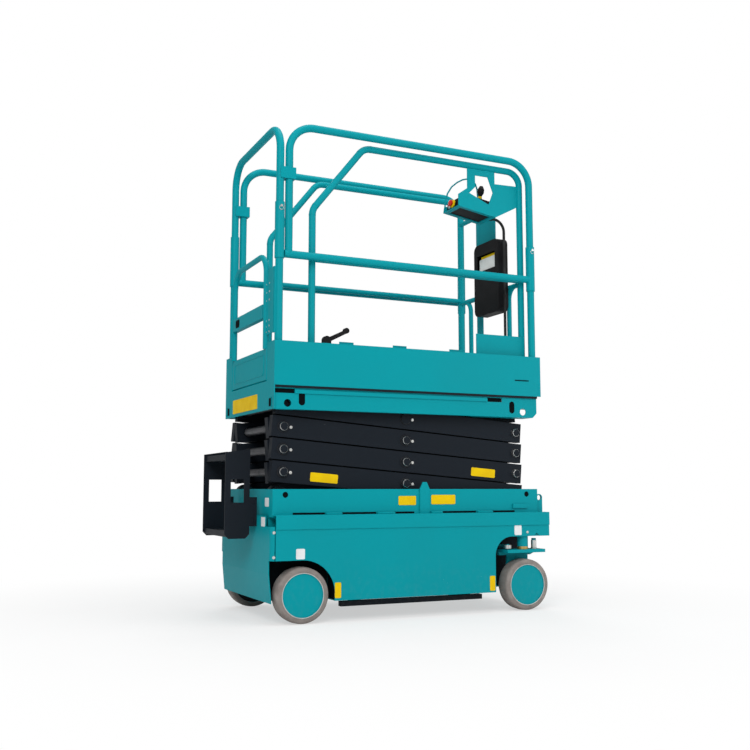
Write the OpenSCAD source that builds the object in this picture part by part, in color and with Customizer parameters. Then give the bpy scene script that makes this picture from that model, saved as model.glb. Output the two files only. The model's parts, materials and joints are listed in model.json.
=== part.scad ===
// Compact electric scissor lift: four scissor stages, slab chassis, roll-out platform deck.
// Millimetres. X points to the steered front end, Y to the left side, Z up.

/* [Chassis] */
// Distance between the front and rear axles
wheelbase = 1136; // [1080:1:1200]
// Width over the tyres and the side panels
overall_w = 760; // [740:1:800]
// Height of the lower edge of the side panels
skirt_z = 92; // [80:1:110]
// Height of the ledge along the sides
ledge_z = 460; // [450:1:480]
// Thickness of sheet panels
sheet_t = 4; // [3:0.5:5]
// Thickness of frame plates
plate_t = 6; // [5:0.5:8]
// Radius of the rear wheel arch
arch_r = 148; // [140:1:155]

/* [Wheels] */
// Radius of a tyre
tyre_r = 120; // [112:1:124]
// Width of a tyre
tyre_w = 80; // [70:1:84]
// Radius of a wheel disc
hub_r = 96; // [84:1:102]
// Radius of a wheel spindle
spindle_r = 20; // [15:1:25]

/* [Scissor] */
// Length of an arm from pin to pin
arm_l = 1202; // [1180:1:1220]
// Height of one stage when stowed
stage_h = 99; // [95:1:104]
// Width of an arm tube
arm_w = 40; // [34:1:42]
// Wall of an arm tube
arm_t = 5; // [3:0.5:7]
// Radius of the scissor pins
pin_r = 18; // [14:1:20]
// Height of the lowest scissor pins
base_pin_z = 546; // [540:1:552]

/* [Lift cylinder] */
// Distance of both cylinder eyes from the fixed chassis pin
cyl_reach = 500; // [485:1:510]
// Height of the lower cylinder eye
foot_z = 150; // [145:1:160]
// Outer radius of the barrel
barrel_r = 38; // [32:1:42]
// Radius of the piston rod
ram_r = 22; // [16:1:26]

/* [Platform] */
// Length of the platform frame
plat_l = 1353; // [1340:1:1370]
// Width over the toe boards
plat_w = 732; // [724:1:740]
// Height of the toe boards
toe_h = 195; // [170:1:205]
// Height of the top rail above the floor
rail_z = 2200; // [2150:1:2250]
// Height of the mid rail above the floor
mid_z = 1605; // [1580:1:1640]
// Radius of a rail tube
rail_r = 17.5; // [15:0.5:18]
// Radius of the thinner tubes of the roll-out rails
inner_rail_r = 16; // [13:0.5:16.5]
// Radius of the entry gate's tube
gate_r = 13; // [10:0.5:14]

/* [Ladder] */
// Distance between the ladder's side plates
ladder_w = 360; // [320:1:400]
// Depth of the ladder's side plates
ladder_d = 112; // [100:1:125]

/* [Hidden] */
$fn = 48;
// Small number that carries cuts past the faces they open
over = 1;
// Running clearance of pins and spindles
run_c = 0.05;
// Seating clearance between pieces of different bodies
seat_c = 0.3;

teal = [0, 0.61, 0.65];
charcoal = [0.13, 0.16, 0.19];
rubber_grey = [0.54, 0.51, 0.49];
steel = [0.75, 0.75, 0.73];
brass = [0.75, 0.6, 0.25];
black = [0.05, 0.05, 0.06];

// Places along the machine, measured from midway between the axles
front_axle_x = wheelbase / 2;
rear_axle_x = -wheelbase / 2;
pin_behind_axle = 71;
fixed_pin_x = rear_axle_x - pin_behind_axle;
stow_a = asin(stage_h / arm_l);
arm_run = arm_l * cos(stow_a);
// Stowed arms lie on each other with a small gap
stage_gap = 7;
arm_h = stage_h - stage_gap;
slide_pin_x = fixed_pin_x + arm_run;
centre_pin_x = fixed_pin_x + arm_run / 2;
frame_rear_overhang = 58;
frame_rear_x = fixed_pin_x - frame_rear_overhang;
cover_gap = 17;
cover_rear_x = frame_rear_x - cover_gap;
nose_overhang = 131;
nose_x = front_axle_x + nose_overhang;
ladder_stand_off = 51;
ladder_front_x = frame_rear_x - ladder_stand_off;
ladder_rear_x = ladder_front_x - ladder_d;
// The finished part is centred over its own box
centre_dx = -(nose_x + ladder_rear_x) / 2;

// Widths across the machine, as distances from the middle plane
panel_y = overall_w / 2;
arm_gap = 10;
inner_in = 168;
toe_y = plat_w / 2;
plat_arm_in = 154;
// The scissor fits between the side panels and under the platform
inner_in_y = min(panel_y - inner_in, toe_y - plat_arm_in);
inner_out_y = inner_in_y + arm_w;
outer_in_y = inner_out_y + arm_gap;
outer_out_y = outer_in_y + arm_w;
cap_t = 6;
cap_r = 23;
cap_y = outer_out_y + cap_t;
move_c = 6;
channel_in_y = cap_y + move_c;
channel_w = 26;
channel_out_y = channel_in_y + channel_w;

// Chassis heights
floor_rise = 3;
floor_z = skirt_z + floor_rise;
floor_t = 8;
seam_drop = 57;
seam_z = ledge_z - seam_drop;
band_step = 4;
nose_drop = 113;
nose_z = ledge_z - nose_drop;
rear_plate_in = 94;
rear_plate_y = panel_y - rear_plate_in;
nose_low_in = 101;
nose_low_y = rear_plate_y - nose_low_in;
bulkhead_rear_x = rear_axle_x + arch_r;
front_bay = 174;
bulkhead_front_x = front_axle_x - front_bay;
channel_front_inset = 41;
channel_front_x = nose_x - channel_front_inset;

// Steering
kingpin_r = 26;
kingpin_y = panel_y - tyre_w / 2;
kingpin_l = 49;
kingpin_low_z = nose_z - kingpin_l;
washer_t = 13;
yoke_top_z = kingpin_low_z - washer_t - 2 * seat_c;
yoke_t = 30;
steer_arm = 85;
tie_pin_r = 9;
tie_r = 9;
tie_rise = 13;
tie_z = yoke_top_z + tie_rise;
motor_r = 52;
stop_pin_r = 11;
stop_pin_x = 64;
yoke_half_l = 106;

// Platform heights and places
plat_pin_z = base_pin_z + 4 * stage_h;
plat_drop = 27;
plat_bottom_z = plat_pin_z - plat_drop;
deck_rise = 67;
deck_z = plat_pin_z + deck_rise;
deck_t = 10;
toe_z = deck_z + deck_t;
toe_top_z = toe_z + toe_h;
plat_rear_over = 62;
plat_rear_x = fixed_pin_x - plat_rear_over;
plat_front_x = plat_rear_x + plat_l;
web_in = 10;
web_y = toe_y - web_in;
roller_r = 20;

// Helper shapes
module box(lo, hi) {
    translate(lo) cube(hi - lo);
}

module both_sides() {
    children();
    mirror([0, 1, 0]) children();
}

module rod(p, q, r) {
    v = q - p;
    translate(p)
        rotate([0, acos(v.z / norm(v)), atan2(v.y, v.x)])
            cylinder(h = norm(v), r = r);
}

// Bar across the machine at x, z from y0 to y1
module cross_rod(x, z, y0, y1, r) {
    translate([x, y0, z]) rotate([-90, 0, 0]) cylinder(h = y1 - y0, r = r);
}

// A drawing in x and z, extruded from y0 to y1
module side_plate(y0, y1) {
    translate([0, y1, 0]) rotate([90, 0, 0]) linear_extrude(height = y1 - y0) children();
}

// A drawing in y and z, extruded from x0 to x1
module end_plate(x0, x1) {
    translate([x0, 0, 0]) rotate([90, 0, 90]) linear_extrude(height = x1 - x0) children();
}

module rect(lo, hi) {
    translate(lo) square(hi - lo);
}

// Unit direction from point i to the next one
function heading(pts, i) = (pts[i + 1] - pts[i]) / norm(pts[i + 1] - pts[i]);
function turn_side(a, b) = sign(a.x * b.y - a.y * b.x);
function turn_angle(a, b) = acos(max(-1, min(1, a * b)));
// Length of straight tube that a bend takes up at point i
function bend_take(pts, i, rb) = (i == 0 || i == len(pts) - 1) ? 0
    : rb * tan(turn_angle(heading(pts, i - 1), heading(pts, i)) / 2);

seam_l = 6;
seam_rise = 0.6;
square_bend_share = 0.001;

// Round tube in the drawing plane along points, bent with radius rb
module bent_tube(pts, rb, rt) {
    for (i = [0 : len(pts) - 2]) {
        d = heading(pts, i);
        a = pts[i] + d * bend_take(pts, i, rb);
        b = pts[i + 1] - d * bend_take(pts, i + 1, rb);
        translate([a.x, a.y, 0])
            rotate([0, 90, atan2(d.y, d.x)]) cylinder(h = norm(b - a), r = rt);
    }
    for (i = [1 : 1 : len(pts) - 2]) {
        d0 = heading(pts, i - 1);
        d1 = heading(pts, i);
        side = turn_side(d0, d1);
        sweep = turn_angle(d0, d1);
        n = side * [-d0.y, d0.x];
        c = pts[i] - d0 * bend_take(pts, i, rb) + n * rb;
        start = atan2(-n.y, -n.x) - (side < 0 ? sweep : 0);
        translate([c.x, c.y, 0]) rotate([0, 0, start])
            rotate_extrude(angle = sweep) translate([rb, 0]) circle(r = rt);
        // Weld rings close the seams of a bend that isn't square
        if (abs(d0 * d1) > square_bend_share) {
            seam_ring(pts[i] - d0 * bend_take(pts, i, rb), d0, rt);
            seam_ring(pts[i] + d1 * bend_take(pts, i, rb), d1, rt);
        }
    }
}

module seam_ring(p, d, rt) {
    translate([p.x, p.y, 0]) rotate([0, 90, atan2(d.y, d.x)])
        cylinder(h = seam_l, r = rt + seam_rise, center = true);
}

module tube_xz(y, pts, rb, rt) {
    translate([0, y, 0]) rotate([90, 0, 0]) bent_tube(pts, rb, rt);
}

module tube_yz(x, pts, rb, rt) {
    translate([x, 0, 0]) rotate([90, 0, 90]) bent_tube(pts, rb, rt);
}

// Chassis
channel_flange_t = 4;
shelf_drop = 4;
shelf_t = 6;
beam_low_z = 400;
beam_clear = 8;
beam_l = 96;
bracket_t = 12;
bracket_l = 74;
stop_w = 50;
stop_ahead = 52;
stop_x = centre_pin_x + stop_ahead;
stop_rise = 32;
stop_top_shares = [0.3, 0.7];
lug_l = 34;
lug_h = 74;
lug_hole_r = 13;
lug_gap = 4;
hole_r = 13;
hole_front_in = 62;
foot_t = 14;
foot_h = 44;
block_in = [144, 66];
block_t = 8;
block_dz = [23, 44];

shelf_z = ledge_z - shelf_drop;
shelf_low_z = shelf_z - shelf_t;
channel_rear_x = frame_rear_x + plate_t;
shelf_in_y = min(rear_plate_y, channel_in_y);
shelf_out_y = max(rear_plate_y, channel_out_y);
lid_y = panel_y - 2 * sheet_t - seat_c;
beam_top_z = base_pin_z - arm_h / 2 - beam_clear;
// The beam ends at the side plates, or short of the channels where these stand further in
beam_y = min(rear_plate_y - plate_t, channel_in_y - move_c);
foot_x = fixed_pin_x + sqrt(pow(cyl_reach, 2) - pow(base_pin_z - foot_z, 2));
channel_low_z = base_pin_z - roller_r - seat_c;
channel_high_z = base_pin_z + roller_r + seat_c;
rail_top_chassis_z = channel_high_z + channel_flange_t;

module slide_channel() {
    difference() {
        box([channel_rear_x, channel_in_y, shelf_z], [channel_front_x, channel_out_y, rail_top_chassis_z]);
        box([channel_rear_x - over, channel_in_y - over, channel_low_z],
            [channel_front_x + over, channel_out_y - channel_flange_t, channel_high_z]);
        box([channel_rear_x - over, channel_in_y - over, shelf_z + shelf_t],
            [channel_front_x + over, channel_out_y - channel_flange_t, channel_low_z - plate_t]);
        cross_rod(fixed_pin_x, base_pin_z, channel_in_y, channel_out_y + over, hole_r);
        cross_rod(channel_front_x - hole_front_in, base_pin_z, channel_in_y, channel_out_y + over, hole_r);
    }
}

module fixed_pin_bracket() {
    for (y = [inner_in_y - seat_c - bracket_t, inner_out_y + seat_c])
        side_plate(y, y + bracket_t) {
            rect([fixed_pin_x - bracket_l / 2, beam_top_z], [fixed_pin_x + bracket_l / 2, base_pin_z]);
            translate([fixed_pin_x, base_pin_z]) circle(r = bracket_l / 2);
        }
    cross_rod(fixed_pin_x, base_pin_z, inner_in_y - seat_c - bracket_t,
        inner_out_y + seat_c + bracket_t, pin_r);
}

module kingpin_housing() {
    translate([front_axle_x, kingpin_y, kingpin_low_z])
        difference() {
            cylinder(h = nose_z - kingpin_low_z, r = kingpin_r);
            translate([0, 0, -over])
                cylinder(h = nose_z - kingpin_low_z + over, r = spindle_r + run_c);
        }
}

module slide_channels() {
    color(teal)
        both_sides() {
            slide_channel();
            // Shelf that carries the channel
            box([channel_rear_x, shelf_in_y, shelf_low_z], [nose_x - sheet_t, shelf_out_y, shelf_z]);
            // Upright stop and block beside the channel
            side_plate(channel_out_y, channel_out_y + plate_t)
                polygon([[stop_x, ledge_z], [stop_x + stop_w, ledge_z],
                    [stop_x + stop_w, rail_top_chassis_z],
                    [stop_x + stop_w * stop_top_shares[1], rail_top_chassis_z + stop_rise],
                    [stop_x + stop_w * stop_top_shares[0], rail_top_chassis_z + stop_rise],
                    [stop_x, rail_top_chassis_z]]);
            box([channel_front_x - block_in[0], channel_out_y, shelf_z + block_dz[0]],
                [channel_front_x - block_in[1], channel_out_y + block_t, shelf_z + block_dz[1]]);
            tie_down_lug();
        }
}

module tie_down_lug() {
    lug_x = channel_front_x + lug_gap;
    difference() {
        side_plate(channel_in_y, channel_in_y + bracket_t) {
            rect([lug_x, shelf_z], [lug_x + lug_l, base_pin_z - lug_l / 2]);
            translate([lug_x + lug_l / 2, base_pin_z - lug_l / 2]) circle(r = lug_l / 2);
        }
        cross_rod(lug_x + lug_l / 2, base_pin_z - lug_l / 2, channel_in_y - over,
            channel_in_y + bracket_t + over,
            lug_hole_r);
    }
}

// Beam between the side plates, with the brackets of the fixed pins
module rear_beam() {
    color(teal) {
        box([channel_rear_x, -beam_y, beam_low_z], [frame_rear_x + beam_l, beam_y, beam_top_z]);
        both_sides() fixed_pin_bracket();
    }
}

// Box over the steered wheels
module nose_frame() {
    color(teal) {
        both_sides() {
            box([bulkhead_front_x, nose_low_y, nose_z], [nose_x - sheet_t, lid_y, nose_z + plate_t]);
            kingpin_housing();
        }
        box([bulkhead_front_x, -nose_low_y, nose_z], [nose_x - sheet_t, nose_low_y, nose_z + plate_t]);
        box([nose_x - sheet_t - plate_t, -lid_y, nose_z], [nose_x - sheet_t, lid_y, shelf_low_z]);
    }
}

module chassis_side() {
    // Plates beside the wheels and beside the side boxes
    box([frame_rear_x, rear_plate_y - plate_t, floor_z], [bulkhead_rear_x, rear_plate_y, shelf_low_z]);
    box([bulkhead_rear_x, rear_plate_y, floor_z], [bulkhead_front_x, rear_plate_y + plate_t, shelf_low_z]);
    for (x = [bulkhead_rear_x, bulkhead_front_x - plate_t])
        box([x, rear_plate_y - plate_t, skirt_z], [x + plate_t, lid_y, shelf_low_z]);
    // Cylinder foot
    side_plate(barrel_r - foot_t / 2, barrel_r + foot_t / 2) {
        rect([foot_x - foot_h / 2, floor_z + floor_t], [foot_x + foot_h / 2, foot_z]);
        translate([foot_x, foot_z]) circle(r = foot_h / 2);
    }
}

module chassis_frame() {
    color(teal) {
        both_sides() chassis_side();
        box([frame_rear_x, -rear_plate_y, floor_z], [bulkhead_front_x, rear_plate_y, floor_z + floor_t]);
        box([bulkhead_front_x - plate_t, -nose_low_y, floor_z],
            [nose_x - lug_h, nose_low_y, floor_z + floor_t]);
        // Rear plate, wider above the wheels, and front bulkhead
        end_plate(frame_rear_x, channel_rear_x) {
            rect([-rear_plate_y, floor_z], [rear_plate_y, rail_top_chassis_z]);
            rect([-shelf_out_y, shelf_low_z], [shelf_out_y, rail_top_chassis_z]);
        }
        box([bulkhead_front_x - plate_t, -rear_plate_y, floor_z],
            [bulkhead_front_x, rear_plate_y, shelf_low_z]);
        cross_rod(foot_x, foot_z, -barrel_r - foot_t / 2, barrel_r + foot_t / 2, pin_r);
    }
}

nose_fillet_r = 90;
nose_hole_in = 72;
nose_hole_r = 12;
module side_panel(y_sign) {
    x0 = frame_rear_x + sheet_t;
    lower_y = panel_y - band_step;
    color(teal) scale([1, y_sign, 1])
        difference() {
            end_plate(x0, nose_x)
                polygon([[channel_out_y + seat_c, ledge_z - sheet_t],
                    [panel_y - sheet_t, ledge_z - sheet_t],
                    [panel_y - sheet_t, seam_z], [lower_y - sheet_t, seam_z], [lower_y - sheet_t, skirt_z],
                    [lower_y, skirt_z], [lower_y, seam_z - sheet_t], [panel_y, seam_z - sheet_t],
                    [panel_y, ledge_z], [channel_out_y + seat_c, ledge_z]]);
            // Rear arch, open to the rear below its crown
            cross_rod(rear_axle_x, tyre_r, rear_plate_y, panel_y + over, arch_r);
            box([x0 - over, rear_plate_y, skirt_z - over], [rear_axle_x, panel_y + over, tyre_r + arch_r]);
            // Front arch, open to the nose
            side_plate(rear_plate_y, panel_y + over) {
                rect([bulkhead_front_x, skirt_z - over], [nose_x + over, nose_z - nose_fillet_r]);
                rect([bulkhead_front_x + nose_fillet_r, skirt_z - over], [nose_x + over, nose_z]);
                translate([bulkhead_front_x + nose_fillet_r, nose_z - nose_fillet_r])
                    circle(r = nose_fillet_r);
                translate([nose_x - nose_hole_in, nose_z]) circle(r = nose_hole_r);
            }
        }
}

corner_r = 24;
cover_hang = 4;
cover_low_z = skirt_z - cover_hang;
bevel_h = 90;
bevel_z = tyre_r + bevel_h;
bevel_in = 12;
cover_low_in = 8;
cover_low_y = panel_y - band_step - corner_r - cover_low_in;
pocket_in = 80;
pocket_h = 45;
module rear_cover() {
    color(teal) {
        // Upper part wraps both rear corners
        difference() {
            translate([0, 0, tyre_r + arch_r])
                linear_extrude(height = ledge_z - sheet_t - tyre_r - arch_r)
                    difference() {
                        cover_plan(panel_y - band_step, cover_rear_x);
                        cover_plan(panel_y - band_step - sheet_t, cover_rear_x + sheet_t);
                        rect([frame_rear_x, -overall_w], [nose_x, overall_w]);
                    }
            // Hand pockets in the upper corners
            both_sides()
                box([cover_rear_x - over, panel_y - pocket_in, ledge_z - sheet_t - pocket_h],
                    [nose_x, panel_y, ledge_z]);
        }
        // Lower part behind the wheels, bevelled in towards the floor
        side_plate(-cover_low_y, cover_low_y)
            polygon([[cover_rear_x, tyre_r + arch_r], [cover_rear_x, bevel_z],
                [cover_rear_x + bevel_in, cover_low_z], [cover_rear_x + bevel_in + sheet_t, cover_low_z],
                [cover_rear_x + sheet_t, bevel_z], [cover_rear_x + sheet_t, tyre_r + arch_r]]);
        // Spacers to the rear plate
        for (z = [bevel_z, beam_low_z])
            box([cover_rear_x + sheet_t, -cover_low_y / 2, z],
                [frame_rear_x, cover_low_y / 2, z + cover_gap]);
    }
}

module cover_plan(half_w, rear_x) {
    rect([rear_x + corner_r, -half_w], [nose_x, half_w]);
    rect([rear_x, -half_w + corner_r], [nose_x, half_w - corner_r]);
    for (s = [-1, 1])
        translate([rear_x + corner_r, s * (half_w - corner_r)]) circle(r = corner_r);
}

// Ladder
ladder_drop = 105;
ladder_low_z = ledge_z - ladder_drop;
ladder_rise = 287;
ladder_top_z = ledge_z + ladder_rise;
ladder_chamfer = 18;
ladder_slope = 16;
ladder_t = 6;
step_t = 26;
step_inset = 8;
window_lo_share = [0.23, 0.4];
window_hi_share = [0.77, 0.66];
ladder_h = ladder_top_z - ladder_low_z;
mount_drop = 52;
mount_lo_z = ledge_z - mount_drop;
mount_rise = 75;
mount_hi_z = ledge_z + mount_rise;
module ladder() {
    color(charcoal) {
        both_sides()
            side_plate(ladder_w / 2 - ladder_t, ladder_w / 2)
                difference() {
                    polygon([[ladder_rear_x, ladder_low_z + ladder_chamfer],
                        [ladder_rear_x + ladder_chamfer, ladder_low_z],
                        [ladder_front_x - ladder_chamfer, ladder_low_z],
                        [ladder_front_x, ladder_low_z + ladder_chamfer],
                        [ladder_front_x, mount_lo_z], [cover_rear_x, mount_lo_z],
                        [cover_rear_x, mount_hi_z],
                        [ladder_front_x, mount_hi_z], [ladder_front_x, ladder_top_z],
                        [ladder_rear_x, ladder_top_z - ladder_slope]]);
                    translate([ladder_rear_x, ladder_low_z])
                        rect([ladder_d * window_lo_share.x, ladder_h * window_lo_share.y],
                            [ladder_d * window_hi_share.x, ladder_h * window_hi_share.y]);
                }
        for (z = [ladder_low_z + step_inset, ladder_top_z - ladder_slope - step_t - step_inset])
            box([ladder_rear_x + step_inset, -ladder_w / 2 + ladder_t, z],
                [ladder_front_x - step_inset, ladder_w / 2 - ladder_t, z + step_t]);
    }
}

// Running gear
stub_root = 9;
stub_flange_r = 52;
wheel_gap = 5;
wheel_in_y = panel_y - tyre_w;
spindle_tip = 24;
module rear_axle_stubs() {
    color(steel)
        both_sides() {
            cross_rod(rear_axle_x, tyre_r, rear_plate_y, rear_plate_y + stub_root, stub_flange_r);
            cross_rod(rear_axle_x, tyre_r, rear_plate_y, panel_y - spindle_tip, spindle_r);
        }
}

guard_hang = 32;
guard_lo_z = skirt_z - guard_hang;
guard_h = 22;
guard_w = 30;
guard_hanger_l = 60;
guard_inset = 48;
module pothole_guards() {
    x0 = bulkhead_rear_x + guard_inset;
    x1 = bulkhead_front_x - guard_inset;
    y0 = rear_plate_y + plate_t + seat_c;
    color(charcoal)
        both_sides() {
            box([x0, y0 + plate_t, guard_lo_z], [x1, y0 + plate_t + guard_w, guard_lo_z + guard_h]);
            for (x = [x0 + guard_inset, x1 - guard_inset - guard_hanger_l])
                box([x, y0, guard_lo_z],
                    [x + guard_hanger_l, y0 + plate_t, floor_z + floor_t + guard_inset]);
        }
}

battery_l = 420;
battery_h = 230;
battery_in_y = 70;
battery_gap = 94;
battery_x = bulkhead_front_x - battery_gap - battery_l;
module battery_pack() {
    color(black)
        box([battery_x, -rear_plate_y + plate_t, floor_z + floor_t],
            [battery_x + battery_l, -battery_in_y, floor_z + floor_t + battery_h]);
}

module hydraulic_unit() {
    color(steel)
        box([battery_x, battery_in_y, floor_z + floor_t],
            [battery_x + battery_l, rear_plate_y - plate_t, floor_z + floor_t + battery_h]);
}

module kingpin_washers() {
    color(brass)
        both_sides()
            translate([front_axle_x, kingpin_y, kingpin_low_z - washer_t])
                difference() {
                    cylinder(h = washer_t, r = kingpin_r);
                    translate([0, 0, -over]) cylinder(h = washer_t + 2 * over, r = spindle_r + run_c);
                }
}

// Knuckle with its kingpin, top plate, inner leg, drive motor and spindle, drawn for the left side
yoke_chamfer = 34;
leg_half_l = 58;
leg_t = 14;
motor_l = 66;
tie_pin_h = 26;
module knuckle_left_shape() {
    leg_y = wheel_in_y - wheel_gap - leg_t;
    color(teal) {
        translate([front_axle_x, kingpin_y, yoke_top_z - over])
            cylinder(h = nose_z - yoke_top_z, r = spindle_r);
        difference() {
            side_plate(leg_y, panel_y - wheel_gap)
                polygon([[front_axle_x - yoke_half_l, yoke_top_z - yoke_t],
                    [front_axle_x + yoke_half_l - yoke_chamfer, yoke_top_z - yoke_t],
                    [front_axle_x + yoke_half_l, yoke_top_z - yoke_t / 2],
                    [front_axle_x + yoke_half_l, yoke_top_z], [front_axle_x - yoke_half_l, yoke_top_z]]);
            box([front_axle_x - yoke_half_l - over, leg_y + leg_t, yoke_top_z - yoke_t - over],
                [front_axle_x + yoke_half_l + over, panel_y, yoke_top_z - yoke_t / 2]);
        }
        side_plate(leg_y, leg_y + leg_t) {
            rect([front_axle_x - leg_half_l, tyre_r], [front_axle_x + leg_half_l, yoke_top_z - yoke_t / 2]);
            translate([front_axle_x, tyre_r]) circle(r = leg_half_l);
        }
        cross_rod(front_axle_x, tyre_r, leg_y - motor_l, leg_y, motor_r);
        cross_rod(front_axle_x, tyre_r, leg_y + leg_t - over, panel_y - spindle_tip, spindle_r);
        translate([front_axle_x - steer_arm, kingpin_y, yoke_top_z - over])
            cylinder(h = tie_pin_h, r = tie_pin_r);
        translate([front_axle_x + stop_pin_x, kingpin_y, yoke_top_z - over])
            cylinder(h = nose_z - yoke_top_z - guard_h / 2, r = stop_pin_r);
    }
}

tie_eye_r = 19;
tie_eye_h = 16;
module tie_rod() {
    color(steel)
        difference() {
            union() {
                cross_rod(front_axle_x - steer_arm, tie_z, -kingpin_y, kingpin_y, tie_r);
                both_sides()
                    translate([front_axle_x - steer_arm, kingpin_y, tie_z - tie_eye_h / 2])
                        cylinder(h = tie_eye_h, r = tie_eye_r);
            }
            both_sides()
                translate([front_axle_x - steer_arm, kingpin_y, tie_z - tie_eye_h])
                    cylinder(h = 2 * tie_eye_h, r = tie_pin_r + run_c);
        }
}

// Wheels, drawn with the outer face towards +Y at the middle plane
shoulder = 9;
hub_dish = 3;
hub_lip = 5;
hub_in = 2;
module tyre_shape() {
    color(rubber_grey) rotate_extrude()
        polygon([[hub_r, 0], [tyre_r - shoulder, 0], [tyre_r, shoulder], [tyre_r, tyre_w - shoulder],
            [tyre_r - shoulder, tyre_w], [hub_r, tyre_w]]);
}

module hub_shape() {
    color(teal) difference() {
        translate([0, 0, hub_in]) cylinder(h = tyre_w - 2 * hub_in, r = hub_r);
        translate([0, 0, tyre_w - hub_in - hub_dish]) cylinder(h = hub_dish + over, r = hub_r - hub_lip);
        translate([0, 0, -over]) cylinder(h = tyre_w - spindle_tip + hub_in + over, r = spindle_r + run_c);
    }
}

// Puts a wheel piece at an axle on the side given by the sign
module at_wheel(x, y_sign) {
    translate([x, y_sign * (panel_y - tyre_w), tyre_r]) rotate([-90 * y_sign, 0, 0]) children();
}

// Scissor
tube_r = 25;
cyl_pin_r = 20;
cross_at_share = [-0.333, 0.316];
cyl_at = cyl_reach - arm_l / 2;
collar_r = 30;
centre_pin_in = 4;
ext_pin = 22;
arm_rear = 52;
arm_front = 33;

function stage_z(i) = base_pin_z + (i - 0.5) * stage_h;

module at_stage(i, lean) {
    translate([centre_pin_x, 0, stage_z(i)]) rotate([0, lean, 0]) children();
}

// Side of an arm with square ends past its pins; without a rear overhang that end is round
module arm_outline(h, rear, front) {
    rect([-arm_l / 2 - rear, -h / 2], [arm_l / 2 + front, h / 2]);
    if (rear == 0)
        translate([-arm_l / 2, 0]) circle(r = h / 2);
}

// One hollow arm between y0 and y0 + arm_w, with solid bosses at its three pins
module arm_bar(y0, rear) {
    difference() {
        side_plate(y0, y0 + arm_w) arm_outline(arm_h, rear, arm_front);
        side_plate(y0 + arm_t, y0 + arm_w - arm_t)
            arm_outline(arm_h - 2 * arm_t, max(0, rear - arm_t), arm_front - arm_t);
    }
    for (s = [-1, 0, 1])
        cross_rod(s * arm_l / 2, 0, y0 + arm_t, y0 + arm_w - arm_t, collar_r);
}

module inner_arms(i) {
    color(charcoal)
        at_stage(i, -stow_a) {
            difference() {
                both_sides() arm_bar(inner_in_y, i == 1 ? 0 : arm_rear);
                cross_rod(0, 0, -outer_in_y, outer_in_y, pin_r + run_c);
                cross_rod(-arm_l / 2, 0, -outer_in_y, outer_in_y, pin_r + run_c);
            }
            for (share = cross_at_share)
                cross_rod(share * arm_l, 0, -inner_in_y, inner_in_y, tube_r);
            cross_rod(cyl_at, 0, -inner_in_y, inner_in_y, cyl_pin_r);
            both_sides() {
                cross_rod(arm_l / 2, 0, inner_out_y - over, cap_y, pin_r);
                cross_rod(arm_l / 2, 0, inner_out_y, outer_in_y - seat_c, collar_r);
            }
        }
}

module outer_arms(i) {
    shaft_y = i == 4 ? channel_in_y + bracket_t + cap_t : cap_y;
    color(charcoal)
        at_stage(i, stow_a) {
            difference() {
                both_sides() arm_bar(outer_in_y, i == 4 ? arm_front : arm_rear);
                if (i > 1)
                    cross_rod(arm_l / 2, 0, -cap_y, cap_y, pin_r + run_c);
            }
            cross_rod(-arm_l / 2, 0, -shaft_y, shaft_y, pin_r);
            both_sides() {
                cross_rod(0, 0, inner_in_y - centre_pin_in, cap_y, pin_r);
                for (x = [0, -arm_l / 2])
                    cross_rod(x, 0, inner_out_y + seat_c, outer_in_y, collar_r);
                cross_rod(0, 0, outer_out_y, cap_y, cap_r);
                if (i < 4)
                    cross_rod(-arm_l / 2, 0, outer_out_y, cap_y, cap_r);
                if (i == 1)
                    cross_rod(arm_l / 2, 0, outer_out_y - arm_w, cap_y + ext_pin, pin_r);
            }
        }
}

module roller(x, z, y0, y1) {
    difference() {
        cross_rod(x, z, y0, y1, roller_r);
        cross_rod(x, z, y0 - over, y1 + over, pin_r);
    }
}

module lower_rollers() {
    color(brass)
        both_sides() roller(slide_pin_x, base_pin_z, cap_y, cap_y + ext_pin);
}

module upper_rollers() {
    color(brass)
        both_sides() roller(slide_pin_x, plat_pin_z, outer_in_y - seat_c, cap_y);
}

// Lift cylinder, drawn along +X from its lower eye
cyl_turn = (asin((base_pin_z - foot_z) / cyl_reach) - stow_a) / 2;
cyl_stow_l = 2 * cyl_reach * sin((asin((base_pin_z - foot_z) / cyl_reach) + stow_a) / 2);
eye_r = 34;
eye_w = 50;
gland_short = 42;
bore_end_c = 3;
barrel_foot = 26;
eye_slot = 24;
module along_cylinder() {
    translate([foot_x, 0, foot_z]) rotate([0, -(90 - cyl_turn), 0]) children();
}

module lift_barrel() {
    color(charcoal)
        along_cylinder()
            difference() {
                union() {
                    rotate([0, 90, 0]) translate([0, 0, barrel_foot])
                        cylinder(h = cyl_stow_l - gland_short - barrel_foot, r = barrel_r);
                    cross_rod(0, 0, -eye_w / 2, eye_w / 2, eye_r);
                }
                cross_rod(0, 0, -eye_w, eye_w, pin_r + run_c);
                rotate([0, 90, 0]) translate([0, 0, barrel_foot + pin_r])
                    cylinder(h = cyl_stow_l, r = ram_r + run_c);
            }
}

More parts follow.
